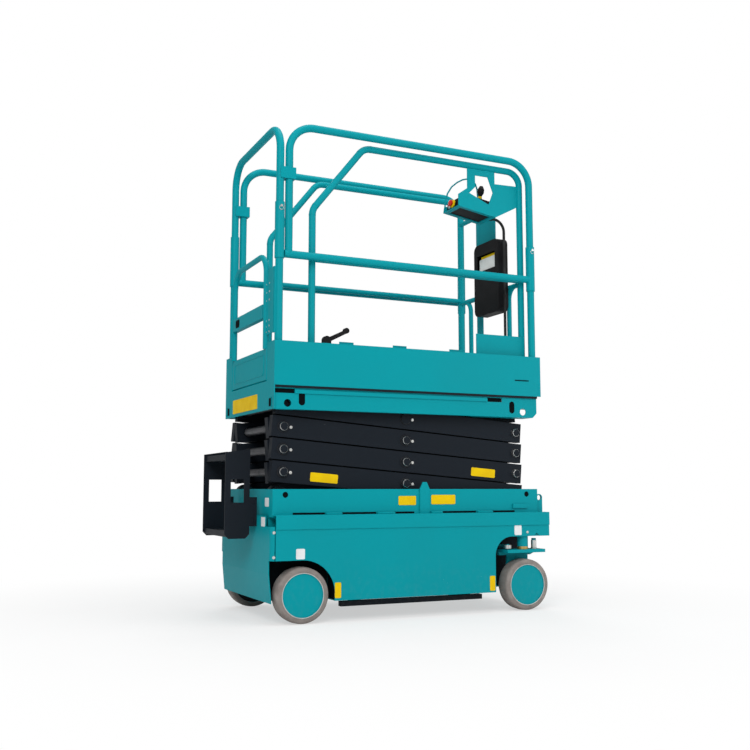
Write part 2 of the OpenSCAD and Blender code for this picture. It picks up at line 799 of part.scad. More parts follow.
module lift_ram() {
    color(steel)
        along_cylinder()
            difference() {
                union() {
                    rotate([0, 90, 0]) translate([0, 0, barrel_foot + pin_r + bore_end_c])
                        cylinder(h = cyl_stow_l - barrel_foot - pin_r - bore_end_c - cyl_pin_r, r = ram_r);
                    side_plate(-eye_w / 2, eye_w / 2) {
                        for (x = [cyl_stow_l, cyl_stow_l + eye_slot])
                            translate([x, 0]) circle(r = eye_r);
                        rect([cyl_stow_l, -eye_r], [cyl_stow_l + eye_slot, eye_r]);
                    }
                }
                side_plate(-eye_w, eye_w) {
                    for (x = [cyl_stow_l, cyl_stow_l + eye_slot])
                        translate([x, 0]) circle(r = cyl_pin_r + seat_c);
                    rect([cyl_stow_l, -cyl_pin_r - seat_c], [cyl_stow_l + eye_slot, cyl_pin_r + seat_c]);
                }
            }
}

// Platform
web_t = 4;
flange_w = 26;
notch_l = 94;
notch_drop = 24;
notch_z = deck_z - notch_drop;
notch_front_in = 282;
notch_front_x = plat_front_x - notch_front_in;
notch_front_l = 84;
front_chamfer = 22;
slot_w = 30;
slot_h = 58;
thin_slot_w = 12;
thin_slot_h = 44;
thin_slot_rise = 4;
slot_rear_dx = 66;
slot_front_dx = 49;
hole_front_dx = 14;
hole_plat_r = 17;
lip_in = 342;
lip_x = plat_front_x - lip_in;
track_back = 70;
track_rear_x = centre_pin_x - track_back;
end_rise = 24;
end_top_z = toe_z + end_rise;
strip_t = 5;
strip_h = 16;
corner_w = 100;
module slot_hole(x, z) {
    r = slot_w / 2;
    for (s = [-1, 1])
        translate([x, z + s * (slot_h / 2 - r)]) circle(r = r);
    rect([x - r, z - slot_h / 2 + r], [x + r, z + slot_h / 2 - r]);
}

module thin_slot_hole(x, z) {
    rect([x - thin_slot_w / 2, z - thin_slot_h / 2], [x + thin_slot_w / 2, z + thin_slot_h / 2]);
}

module platform_side() {
    // Side channel with its notches, slots and holes
    side_plate(web_y - web_t, web_y)
        difference() {
            polygon([[plat_rear_x, plat_bottom_z], [plat_front_x - front_chamfer, plat_bottom_z],
                [plat_front_x, plat_bottom_z + front_chamfer], [plat_front_x, deck_z],
                [plat_rear_x, deck_z]]);
            rect([plat_rear_x - over, notch_z], [plat_rear_x + notch_l, deck_z - web_t]);
            rect([notch_front_x, notch_z], [notch_front_x + notch_front_l, deck_z - web_t]);
            translate([fixed_pin_x, plat_pin_z]) circle(r = hole_plat_r);
            translate([slide_pin_x + hole_front_dx, plat_pin_z]) circle(r = hole_plat_r);
            slot_hole(fixed_pin_x + slot_rear_dx, plat_pin_z + roller_r);
            slot_hole(slide_pin_x - slot_front_dx, plat_pin_z + roller_r);
        }
    box([plat_rear_x, web_y - flange_w, plat_bottom_z],
        [plat_front_x - front_chamfer, web_y - web_t, plat_bottom_z + web_t]);
    box([plat_rear_x, channel_in_y, deck_z - web_t], [plat_front_x, web_y - web_t, deck_z]);
    box([plat_rear_x + notch_l, web_y, notch_z], [notch_front_x, web_y + strip_t, notch_z + strip_h]);
    // Bracket for the top rear shaft
    side_plate(channel_in_y, channel_in_y + bracket_t)
        difference() {
            rect([fixed_pin_x - bracket_l / 2, plat_bottom_z],
                [fixed_pin_x + bracket_l / 2, deck_z - web_t]);
            translate([fixed_pin_x, plat_pin_z]) circle(r = pin_r + run_c);
        }
    // Track for the top slide block
    box([track_rear_x, outer_in_y, plat_pin_z + roller_r + seat_c],
        [plat_front_x - web_t, web_y - web_t, plat_pin_z + roller_r + seat_c + plate_t]);
    box([lip_x, outer_in_y, plat_bottom_z],
        [plat_front_x - front_chamfer, web_y - flange_w, plat_bottom_z + web_t]);
}

module platform_frame() {
    color(teal) {
        both_sides() platform_side();
        // Rear end plate with its corner uprights
        difference() {
            end_plate(plat_rear_x - web_t, plat_rear_x) {
                rect([-toe_y, plat_bottom_z], [toe_y, end_top_z]);
                for (s = [-1, 1])
                    translate([s * (toe_y - corner_w / 2), 0])
                        rect([-corner_w / 2, plat_bottom_z], [corner_w / 2, toe_top_z]);
            }
            for (s = [-1, 1])
                end_plate(plat_rear_x - 2 * web_t, plat_rear_x + over)
                    translate([s * (toe_y - slot_w), 0])
                        thin_slot_hole(0, plat_pin_z + thin_slot_rise);
        }
        box([plat_front_x - web_t, -web_y + web_t, plat_pin_z + 2 * roller_r],
            [plat_front_x, web_y - web_t, deck_z]);
        // Hinge pin of the entry gate
        translate([gate_x, hinge_y, end_top_z - over])
            cylinder(h = gate_panel_top_z - end_top_z + over, r = hinge_pin_r);
    }
}

module platform_deck() {
    color(charcoal)
        box([plat_rear_x, -toe_y + web_t / 2, deck_z], [plat_front_x, toe_y - web_t / 2, toe_z]);
}

toe_front_over = 20;
toe_fold = 7;
module toe_boards() {
    color(teal)
        both_sides()
            end_plate(plat_rear_x, plat_front_x + toe_front_over)
                polygon([[toe_y - web_t, toe_z], [toe_y, toe_z], [toe_y, toe_top_z],
                    [toe_y - toe_fold, toe_top_z], [toe_y - toe_fold, toe_top_z - web_t],
                    [toe_y - web_t, toe_top_z - web_t]]);
}

gate_half_in = 110;
gate_half_w = toe_y - gate_half_in;
gate_x = plat_rear_x - web_t / 2;
hinge_gap = 5;
hinge_y = -(gate_half_w + hinge_gap);
hinge_r = 4;
hinge_pin_r = 1.6;
rear_post_x = plat_rear_x + rail_r + web_t;
rear_post_y = toe_y - 2 * web_t - rail_r;
rear_top_z = rail_z;
bend_r = 118;
sleeve_r = 21.5;
rear_sleeve_dz = [-22, 232];
rear_sleeve_z = [mid_z + rear_sleeve_dz[0], mid_z + rear_sleeve_dz[1]];
leaf_dz = [231, 521];
leaf_z = [toe_z + leaf_dz[0], toe_z + leaf_dz[1]];
leaf_c = 0.6;
leaf_grip = 8;
front_sleeve_dz = [-58, 165];
front_sleeve_z = [mid_z + front_sleeve_dz[0], mid_z + front_sleeve_dz[1]];
module rear_rail() {
    color(teal) {
        tube_yz(rear_post_x, [[-rear_post_y, toe_z], [-rear_post_y, rear_top_z],
            [rear_post_y, rear_top_z], [rear_post_y, toe_z]], bend_r, rail_r);
        for (s = [-1, 1])
            translate([rear_post_x, s * rear_post_y, rear_sleeve_z[0]])
                cylinder(h = rear_sleeve_z[1] - rear_sleeve_z[0], r = sleeve_r);
        // Fixed leaf of the gate's upper hinge, with its pin
        box([gate_x - web_t / 2, -rear_post_y, leaf_z[0]],
            [gate_x + web_t / 2, hinge_y - hinge_r - leaf_c, leaf_z[1] + web_t]);
        box([gate_x, -rear_post_y - leaf_grip, leaf_z[0]],
            [rear_post_x, -rear_post_y + leaf_grip, leaf_z[1] + web_t]);
        box([gate_x - web_t / 2, hinge_y - hinge_r - leaf_c - over, leaf_z[1]],
            [gate_x + web_t / 2, hinge_y + hinge_r, leaf_z[1] + web_t]);
        translate([gate_x, hinge_y, leaf_z[0]]) cylinder(h = leaf_z[1] - leaf_z[0] + over, r = hinge_pin_r);
    }
}

post_gap = 42.5;
side_post_x = rear_post_x + post_gap;
front_post_in = 11;
front_post_x = plat_front_x - front_post_in;
side_rail_y = rear_post_y;
module side_rail_shape(y) {
    color(teal) {
        tube_xz(y, [[side_post_x, mid_z], [side_post_x, rail_z], [front_post_x, rail_z],
            [front_post_x, toe_z]], bend_r, rail_r);
        rod([rear_post_x + sleeve_r + seat_c, y, mid_z], [front_post_x, y, mid_z], rail_r);
        translate([front_post_x, y, front_sleeve_z[0]])
            cylinder(h = front_sleeve_z[1] - front_sleeve_z[0], r = sleeve_r);
    }
}

clamp_drop = 255;
clamp_z = rail_z - clamp_drop;
clamp_h = 52;
clamp_w = 8;
module rail_clamps() {
    color(teal)
        both_sides()
            difference() {
                box([rear_post_x - clamp_w / 2, side_rail_y - rail_r - clamp_w, clamp_z],
                    [side_post_x + rail_r + clamp_w, side_rail_y + rail_r + clamp_w / 2,
                    clamp_z + clamp_h]);
                for (x = [rear_post_x, side_post_x])
                    translate([x, side_rail_y, clamp_z - over]) cylinder(h = clamp_h + 2 * over,
                        r = rail_r);
            }
}

// Entry gate, hinged at the right-hand corner upright
gate_post_in = 18;
gate_post_y = gate_half_w - gate_post_in;
gate_gap = 7;
gate_low_z = end_top_z + gate_gap;
gate_rise = 17;
gate_top_z = mid_z + gate_rise;
gate_bend_r = 90;
gate_panel_rise = 171;
gate_panel_top_z = toe_z + gate_panel_rise;
gate_bar_dz = [311, 373];
gate_bar_z = [toe_z + gate_bar_dz[0], toe_z + gate_bar_dz[1]];
module gate_frame() {
    color(teal)
        difference() {
            union() {
                tube_yz(gate_x, [[-gate_post_y, gate_panel_top_z], [-gate_post_y, gate_top_z],
                    [gate_post_y, gate_top_z], [gate_post_y, gate_panel_top_z]], gate_bend_r, gate_r);
                // Swinging leaf of the upper hinge
                translate([gate_x, hinge_y, leaf_z[0] + seat_c])
                    cylinder(h = leaf_z[1] - leaf_z[0] - 2 * seat_c, r = hinge_r);
                box([gate_x - web_t / 2, hinge_y, leaf_z[0] + seat_c],
                    [gate_x + web_t / 2, -gate_post_y, leaf_z[1] - seat_c]);
            }
            translate([gate_x, hinge_y, leaf_z[0] - over])
                cylinder(h = leaf_z[1] - leaf_z[0] + 2 * over, r = hinge_pin_r + run_c);
        }
}

module gate_panels() {
    color(teal) {
        box([gate_x - web_t / 2, -gate_half_w, gate_low_z],
            [gate_x + web_t / 2, gate_half_w, gate_panel_top_z]);
        box([gate_x - gate_r, -gate_post_y + gate_r + seat_c, gate_bar_z[0]],
            [gate_x + gate_r, gate_post_y - gate_r - seat_c, gate_bar_z[1]]);
        difference() {
            union() {
                translate([gate_x, hinge_y, gate_low_z])
                    cylinder(h = gate_panel_top_z - gate_low_z, r = hinge_r);
                box([gate_x - web_t / 2, hinge_y, gate_low_z],
                    [gate_x + web_t / 2, -gate_half_w + over, gate_panel_top_z]);
            }
            translate([gate_x, hinge_y, gate_low_z - over])
                cylinder(h = gate_panel_top_z - gate_low_z + 2 * over, r = hinge_pin_r + run_c);
        }
    }
}

// Roll-out deck and its rails
ext_rear_in = 177;
ext_rear_x = plat_rear_x + ext_rear_in;
ext_front_in = 7;
ext_front_x = plat_front_x - ext_front_in;
ext_in = 49;
ext_y = toe_y - ext_in;
ext_t = 10;
ext_z = toe_z + seat_c;
ext_rail_in = 70;
ext_rail_y = toe_y - ext_rail_in;
ext_post_x = ext_rear_x + inner_rail_r;
ext_front_post_in = 33;
ext_front_post_x = ext_front_x - ext_front_post_in;
ext_top_drop = 38;
ext_top_z = rail_z - ext_top_drop;
ext_knee_drop = 327;
ext_knee_z = ext_top_z - ext_knee_drop;
ext_rise = 257;
ext_bend_r = 70;
high_panel_in = [306, 32];
high_panel_x = [ext_front_x - high_panel_in[0], ext_front_x - high_panel_in[1]];
high_panel_rise = 104;
high_panel_z = toe_top_z + high_panel_rise;
ext_toe_drop = 14;
ext_toe_top_z = toe_top_z - ext_toe_drop;
ext_lug_in = [144, 414, 714];
lug_w = 70;
ext_lug_h = 32;
module extension_deck() {
    color(teal) {
        box([ext_rear_x, -ext_y, ext_z], [ext_front_x, ext_y, ext_z + ext_t]);
        both_sides()
            side_plate(ext_y - web_t, ext_y) {
                rect([ext_rear_x, ext_z], [ext_front_x, ext_toe_top_z]);
                rect([high_panel_x[0], ext_z], [high_panel_x[1], high_panel_z]);
                for (dx = ext_lug_in)
                    rect([ext_rear_x + dx, ext_z], [ext_rear_x + dx + lug_w, ext_toe_top_z + ext_lug_h]);
            }
        box([ext_front_x - web_t, -ext_y, ext_z], [ext_front_x, ext_y, ext_toe_top_z]);
    }
}

front_bar_drop = 15;
front_bar_z = mid_z - front_bar_drop;
ext_bar_r = 13;
front_leg_in = 106;
front_leg_y = ext_rail_y - front_leg_in;
front_leg_r = 12;
front_leg_bend_r = 60;
back_y = [-87, 45, 105];
back_drop = 340;
front_top_drop = 122;
front_top_bar_z = ext_top_z - front_top_drop;
module extension_rails() {
    color(teal) {
        both_sides() {
            tube_xz(ext_rail_y, [[ext_post_x, ext_z + ext_t], [ext_post_x, ext_knee_z],
                [ext_post_x + ext_rise, ext_top_z], [ext_front_post_x, ext_top_z],
                [ext_front_post_x, ext_z + ext_t]], ext_bend_r, inner_rail_r);
            rod([ext_post_x, ext_rail_y, mid_z], [ext_front_post_x, ext_rail_y, mid_z], ext_bar_r);
        }
        cross_rod(ext_front_post_x, front_top_bar_z, -ext_rail_y, ext_rail_y, ext_bar_r);
        cross_rod(ext_front_post_x, front_bar_z, -ext_rail_y, ext_rail_y, ext_bar_r);
        // Low front legs, bent out to the posts
        both_sides()
            tube_yz(ext_front_post_x, [[front_leg_y, ext_z + ext_t], [front_leg_y, front_bar_z],
                [ext_rail_y, front_bar_z]],
                front_leg_bend_r, front_leg_r);
        // Back plate of the document box and its upright
        end_plate(ext_front_post_x - ext_bar_r, ext_front_post_x - ext_bar_r + web_t)
            polygon([[back_y[1], ext_z + ext_t], [back_y[2], ext_z + ext_t],
                [back_y[2], front_top_bar_z], [back_y[0], front_top_bar_z],
                [back_y[0], front_top_bar_z - back_drop], [back_y[1], front_top_bar_z - back_drop]]);
    }
}

// Control station on the right-hand roll-out rail: a hanger plate with a tilted tray
tray_in = [355, 142];
tray_x = [ext_front_post_x - tray_in[0], ext_front_post_x - tray_in[1]];
tray_tilt = 9.3;
tray_l = (tray_x[1] - tray_x[0]) / cos(tray_tilt);
tray_w = 155;
tray_drop = 212;
tray_z = ext_top_z - tray_drop;
tray_wall = 38;
tray_rim = 22;
hanger_past = 4;
tray_y = [-ext_rail_y - hanger_past, -ext_rail_y - hanger_past + tray_w];
arm_drop = [72, 172];
hanger_shares = [[0, 0.28], [0.24, 0.45], [0.24, 1], [0.98, 1], [0.98, 0.64]];
window_shares = [[0.45, 0.78], [0.79, 0.78], [0.93, 0.42], [0.81, 0.12], [0.29, 0.34], [0.45, 0.5]];
function hanger_at(share) = [tray_x[0] + share.x * (tray_x[1] - tray_x[0]), tray_z + share.y * tray_drop];

module in_tray() {
    translate([tray_x[0], 0, tray_z]) rotate([0, tray_tilt, 0]) children();
}

module control_bracket() {
    color(teal)
        difference() {
            union() {
                side_plate(tray_y[0], tray_y[0] + web_t)
                    difference() {
                        polygon(concat([[tray_x[0], tray_z]],
                            [for (share = hanger_shares) hanger_at(share)],
                            [[ext_front_post_x, ext_top_z - arm_drop[0]],
                            [ext_front_post_x, ext_top_z - arm_drop[1]],
                            [tray_x[1], tray_z - (tray_x[1] - tray_x[0]) * tan(tray_tilt)]]));
                        polygon([for (share = window_shares) hanger_at(share)]);
                    }
                in_tray() {
                    difference() {
                        box([0, tray_y[0], 0], [tray_l, tray_y[1], web_t]);
                        box([tray_rim, tray_y[0] + tray_rim, -over],
                            [tray_l - tray_rim, tray_y[1] - tray_rim, web_t + over]);
                    }
                    box([0, tray_y[1] - web_t, 0], [tray_l, tray_y[1], tray_wall]);
                    box([tray_l - web_t, tray_y[0], 0], [tray_l, tray_y[1], tray_wall]);
                }
            }
            tube_xz(-ext_rail_y, [[ext_post_x + ext_rise, ext_top_z], [ext_front_post_x, ext_top_z],
                [ext_front_post_x, ext_z]], ext_bend_r, inner_rail_r + seat_c);
        }
}

console_in = 14;
console_h = 70;
console_chamfer = 46;
console_end = 18;
module control_box() {
    color(black)
        in_tray()
            side_plate(tray_y[0] + web_t + hanger_past, tray_y[1] - web_t - hanger_past)
                polygon([[console_in, web_t + seat_c], [tray_l - console_in, web_t + seat_c],
                    [tray_l - console_in, web_t + console_h],
                    [console_in + console_chamfer, web_t + console_h],
                    [console_in, web_t + console_h - console_end]]);
}

grip_r = 9;
grip_h = 46;
ball_r = 17;
grip_in = 62;
boot_r = 26;
boot_h = 14;
module control_grips() {
    color(black)
        in_tray()
            translate([tray_l - grip_in, (tray_y[0] + tray_y[1]) / 2, web_t + console_h + seat_c])
                rotate_extrude()
                    polygon([[0, 0], [boot_r, 0], [grip_r, boot_h], [grip_r, boot_h + grip_h - ball_r],
                        [ball_r, boot_h + grip_h], [ball_r, boot_h + grip_h + ball_r],
                        [grip_r, boot_h + grip_h + 2 * ball_r],
                        [0, boot_h + grip_h + 2 * ball_r]]);
}

// Document box against the front frame, open through a mouth in its rear wall
doc_d = 59;
doc_x = [ext_front_post_x - ext_bar_r - seat_c - doc_d, ext_front_post_x - ext_bar_r - seat_c];
doc_y = [-203, 30];
doc_dz = [-140, 240];
doc_z = [mid_z + doc_dz[0], mid_z + doc_dz[1]];
doc_r = 34;
doc_t = 5;
mouth_in = 30;
mouth_dz = [235, 320];
module doc_outline(inset) {
    r = doc_r - inset;
    for (y = [doc_y[0] + doc_r, doc_y[1] - doc_r])
        for (z = [doc_z[0] + doc_r, doc_z[1] - doc_r])
            translate([y, z]) circle(r = r);
    rect([doc_y[0] + inset, doc_z[0] + doc_r], [doc_y[1] - inset, doc_z[1] - doc_r]);
    rect([doc_y[0] + doc_r, doc_z[0] + inset], [doc_y[1] - doc_r, doc_z[1] - inset]);
}

module document_box() {
    color(black)
        difference() {
            end_plate(doc_x[0], doc_x[1]) doc_outline(0);
            end_plate(doc_x[0] + doc_t, doc_x[1] - doc_t) doc_outline(doc_t);
            box([doc_x[0] - over, doc_y[0] + mouth_in, doc_z[0] + mouth_dz[0]],
                [doc_x[0] + doc_t + over, doc_y[1] - mouth_in, doc_z[0] + mouth_dz[1]]);
        }
}

cable_r = 7;
cable_in = 42;
cable_c = 5;
cable_drop = 18;
cable_bend_r = 60;
cable_x = ext_front_post_x - cable_in;
cable_y = doc_y[0] - cable_r - cable_c;
cable_z = tray_z - cable_drop;
module control_cable() {
    color(black)
        tube_xz(cable_y, [[tray_x[1] + cable_c, cable_z], [cable_x, cable_z],
            [cable_x, ext_z + ext_t + seat_c]],
            cable_bend_r, cable_r);
}

// Lever that locks the roll-out deck, on the right-hand toe board
latch_in = 86;
latch_x = ext_rear_x + latch_in;
latch_rise = 36;
latch_z = ext_toe_top_z + latch_rise;
latch_r = 20;
latch_t = 20;
lever_l = 96;
lever_h = 50;
knob_r = 13;
module deck_latch() {
    color(black)
        side_plate(-ext_y + web_t, -ext_y + web_t + latch_t) {
            translate([latch_x, latch_z]) circle(r = latch_r);
            rect([latch_x - latch_r, ext_toe_top_z - latch_rise], [latch_x + latch_r, latch_z]);
            polygon([[latch_x, latch_z - knob_r], [latch_x + lever_l, latch_z + lever_h - knob_r],
                [latch_x + lever_l, latch_z + lever_h + knob_r / 2], [latch_x, latch_z + latch_r / 2]]);
            translate([latch_x + lever_l, latch_z + lever_h]) circle(r = knob_r);
        }
}

module place() {
    translate([centre_dx, 0, 0]) children();
}

place() chassis_frame();
place() slide_channels();
place() rear_beam();
place() nose_frame();
place() side_panel(-1);  // side_panel_right
place() side_panel(1);  // side_panel_left
place() rear_cover();
place() ladder();
place() rear_axle_stubs();
place() pothole_guards();
place() battery_pack();
place() hydraulic_unit();
place() kingpin_washers();
place() mirror([0, 1, 0]) knuckle_left_shape();  // knuckle_right
place() knuckle_left_shape();  // knuckle_left
place() tie_rod();
place() at_wheel(front_axle_x, -1) tyre_shape();  // tyre_front_right
place() at_wheel(front_axle_x, 1) tyre_shape();  // tyre_front_left
place() at_wheel(rear_axle_x, -1) tyre_shape();  // tyre_rear_right
place() at_wheel(rear_axle_x, 1) tyre_shape();  // tyre_rear_left
place() at_wheel(front_axle_x, -1) hub_shape();  // hub_front_right
place() at_wheel(front_axle_x, 1) hub_shape();  // hub_front_left
place() at_wheel(rear_axle_x, -1) hub_shape();  // hub_rear_right
place() at_wheel(rear_axle_x, 1) hub_shape();  // hub_rear_left
place() inner_arms(1);  // inner_arms_1
place() inner_arms(2);  // inner_arms_2
place() inner_arms(3);  // inner_arms_3
place() inner_arms(4);  // inner_arms_4
place() outer_arms(1);  // outer_arms_1
place() outer_arms(2);  // outer_arms_2
place() outer_arms(3);  // outer_arms_3
place() outer_arms(4);  // outer_arms_4
place() lower_rollers();
place() upper_rollers();
place() lift_barrel();
place() lift_ram();
place() platform_frame();
place() platform_deck();
place() toe_boards();
place() rear_rail();
place() side_rail_shape(-side_rail_y);  // side_rail_right
place() side_rail_shape(side_rail_y);  // side_rail_left
place() rail_clamps();
place() gate_frame();
place() gate_panels();
place() extension_deck();
place() extension_rails();
place() control_bracket();
place() control_box();
place() control_grips();
place() document_box();
place() control_cable();
place() deck_latch();
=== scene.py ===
"""Dressed scene of a compact electric scissor lift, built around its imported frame.

Metres, in the frame of the solids: X to the steered front end, Y to the machine's left, Z up.
Classes that take a Datum hold their places in millimetres, and edge roundings in metres.
"""

import json
import logging
import math
from dataclasses import dataclass
from enum import Enum
from typing import Any, Sequence

import bmesh
import bpy
from mathutils import Matrix, Vector

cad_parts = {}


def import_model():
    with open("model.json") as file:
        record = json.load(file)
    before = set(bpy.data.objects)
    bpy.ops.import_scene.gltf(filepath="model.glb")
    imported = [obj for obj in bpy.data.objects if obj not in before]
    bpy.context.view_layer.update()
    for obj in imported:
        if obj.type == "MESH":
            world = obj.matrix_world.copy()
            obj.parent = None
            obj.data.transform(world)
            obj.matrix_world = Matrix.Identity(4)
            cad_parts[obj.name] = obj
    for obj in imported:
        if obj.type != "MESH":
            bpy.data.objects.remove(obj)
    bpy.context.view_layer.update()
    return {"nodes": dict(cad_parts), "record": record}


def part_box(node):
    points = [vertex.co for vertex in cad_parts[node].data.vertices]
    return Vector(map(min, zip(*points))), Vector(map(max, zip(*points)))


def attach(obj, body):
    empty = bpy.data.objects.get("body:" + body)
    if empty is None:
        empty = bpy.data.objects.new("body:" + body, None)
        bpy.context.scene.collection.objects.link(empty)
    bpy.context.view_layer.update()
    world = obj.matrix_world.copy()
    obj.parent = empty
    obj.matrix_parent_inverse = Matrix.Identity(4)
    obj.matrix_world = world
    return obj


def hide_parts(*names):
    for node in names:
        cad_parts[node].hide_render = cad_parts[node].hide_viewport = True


LOG = logging.getLogger("scissor_lift")
Pair = tuple[float, float]
Triple = tuple[float, float, float]
Profile = Sequence[Pair]

# Units, directions and light
MM_PER_M = 1000
QUARTER_TURN = math.tau / 4
FORWARD: Triple = (1.0, 0.0, 0.0)
BACKWARD: Triple = (-1.0, 0.0, 0.0)
WHITE_LIGHT: Triple = (1.0, 1.0, 1.0)

# Arm length and stage height of the lowered scissor, in millimetres
ARM_LENGTH = 1202.0
STAGE_HEIGHT = 99.0

# Faces round turned parts
WHEEL_SIDES = 96
CHEEK_SIDES = 64
PIN_SIDES = 40
PLUG_SIDES = 32
SMALL_SIDES = 24


class Look(Enum):
    """Finishes of the machine."""

    TEAL = "teal_powder_coat"
    CHARCOAL = "charcoal_paint"
    TYRE = "grey_solid_tyre"
    RIM = "pale_rim_band"
    STEEL = "zinc_steel"
    PIN = "dark_pin_steel"
    SHAFT = "dull_shaft_steel"
    ROD = "polished_rod"
    BRASS = "turned_brass"
    BLACK = "black_moulding"
    CABLE = "cable_jacket"
    YELLOW = "yellow_plate"
    WHITE = "white_plate"
    RED = "red_button"
    PAPER = "paper_sheet"
    # near black: painted shade in slots, holes, gaps and behind openings; also the display's own dark colour
    SHADOW = "dark_recess"


class Slot(str, Enum):
    """Material slots of the record."""

    TEAL = "teal_paint"
    CHARCOAL = "charcoal_paint"
    TYRE = "tyre_grey"
    STEEL = "steel"
    BRASS = "brass"
    BLACK = "black_plastic"
    CABLE = "cable_rubber"


class Side(Enum):
    """Sides of the machine, with the sign of Y."""

    RIGHT = -1
    LEFT = 1

    @property
    def word(self) -> str:
        """The side's name as the solids use it."""
        return self.name.lower()

    @property
    def out(self) -> Vector:
        """Direction out of the machine on this side."""
        return Vector((0.0, self.value, 0.0))

    def span(self, near: float, far: float) -> list[float]:
        """Two distances from the middle as low and high places on this side."""
        return sorted((self.value * near, self.value * far))


# Shader nodes


class Val:
    """A shader socket that plain arithmetic can work on."""

    def __init__(self, shade: "Shade", socket: bpy.types.NodeSocket | None) -> None:
        """Keeps the socket and the tree that it belongs to."""
        self.shade = shade
        self.socket = socket

    def _math(self, operation: str, first: Any, second: Any) -> "Val":
        """Adds one Math node and gives its result."""
        return self.shade.node("ShaderNodeMath", {"operation": operation}, {0: first, 1: second})

    def __add__(self, other: Any) -> "Val":
        """Sum of two values."""
        return self._math("ADD", self, other)

    __radd__ = __add__

    def __sub__(self, other: Any) -> "Val":
        """Difference of two values."""
        return self._math("SUBTRACT", self, other)

    def __rsub__(self, other: Any) -> "Val":
        """Difference with the number first."""
        return self._math("SUBTRACT", other, self)

    def __mul__(self, other: Any) -> "Val":
        """Product of two values."""
        return self._math("MULTIPLY", self, other)

    __rmul__ = __mul__

    def __gt__(self, other: Any) -> "Val":
        """One where the value is above the other one, else zero."""
        return self._math("GREATER_THAN", self, other)


class Shade:
    """Node tree of one material or of the world."""

    def __init__(self, owner: bpy.types.Material | bpy.types.World) -> None:
        """Starts with an empty tree.

        Args:
            owner: material or world that the tree belongs to.
        """
        owner.use_nodes = True
        self.owner = owner
        self.tree = owner.node_tree
        self.tree.nodes.clear()

    @classmethod
    def material(cls, name: str) -> "Shade":
        """Starts a new material."""
        return cls(bpy.data.materials.new(name))

    def node(self, kind: str, settings: dict[str, Any] | None = None,
             inputs: dict[Any, Any] | None = None, out: int = 0) -> Val:
        """Adds a node.

        Args:
            kind: type of the node.
            settings: properties set first.
            inputs: values or links of its sockets, by name or number.
            out: number of the output that is wanted.

        Returns:
            The output socket.
        """
        node = self.tree.nodes.new(kind)
        for key, value in (settings or {}).items():
            setattr(node, key, value)
        for key, value in (inputs or {}).items():
            if isinstance(value, Val):
                self.tree.links.new(value.socket, node.inputs[key])
            else:
                node.inputs[key].default_value = value
        return Val(self, node.outputs[out] if node.outputs else None)

    def coords(self, stretch: Triple = (1.0, 1.0, 1.0)) -> Val:
        """Object coordinates, stretched along the axes."""
        place = self.node("ShaderNodeTexCoord", out=3)
        return self.node("ShaderNodeMapping", {}, {"Vector": place, "Scale": stretch})

    def noise(self, scale: float, detail: float = 2.0, stretch: Triple = (1.0, 1.0, 1.0)) -> Val:
        """Noise value between zero and one.

        Args:
            scale: repeats in a metre.
            detail: octaves.
            stretch: scale of the coordinates along each axis.

        Returns:
            The noise.
        """
        place = self.coords(stretch)
        return self.node("ShaderNodeTexNoise", {}, {"Vector": place, "Scale": scale, "Detail": detail})

    def ramp(self, value: Val, low: float, high: float) -> Val:
        """Zero below low, one above high, smooth between them."""
        return self.node("ShaderNodeMapRange", {"interpolation_type": "SMOOTHSTEP"},
                         {"Value": value, "From Min": low, "From Max": high, "To Min": 0.0, "To Max": 1.0})

    def height(self) -> Val:
        """Height above the floor."""
        return self.node("ShaderNodeSeparateXYZ", {}, {0: self.coords()}, out=2)

    def mix(self, share: Any, first: Any, second: Any) -> Val:
        """Mix of two colours by a share."""
        return self.node("ShaderNodeMix", {"data_type": "RGBA"}, {0: share, 6: first, 7: second}, out=2)

    def bump(self, height: Val, strength: float, distance: float) -> Val:
        """Normal that a height gives."""
        return self.node("ShaderNodeBump", {}, {"Height": height, "Strength": strength, "Distance": distance})

    def surface(self, **inputs: Any) -> bpy.types.Material:
        """Ends the tree in one surface shader.

        Args:
            inputs: sockets of the shader, with underscores for spaces.

        Returns:
            The finished material.
        """
        values = {key.replace("_", " "): value for key, value in inputs.items()}
        shader = self.node("ShaderNodeBsdfPrincipled", {}, values)
        self.node("ShaderNodeOutputMaterial", {}, {"Surface": shader})
        return self.owner


def rgba(color: Triple) -> tuple[float, float, float, float]:
    """Colour with full cover."""
    return (*color, 1.0)


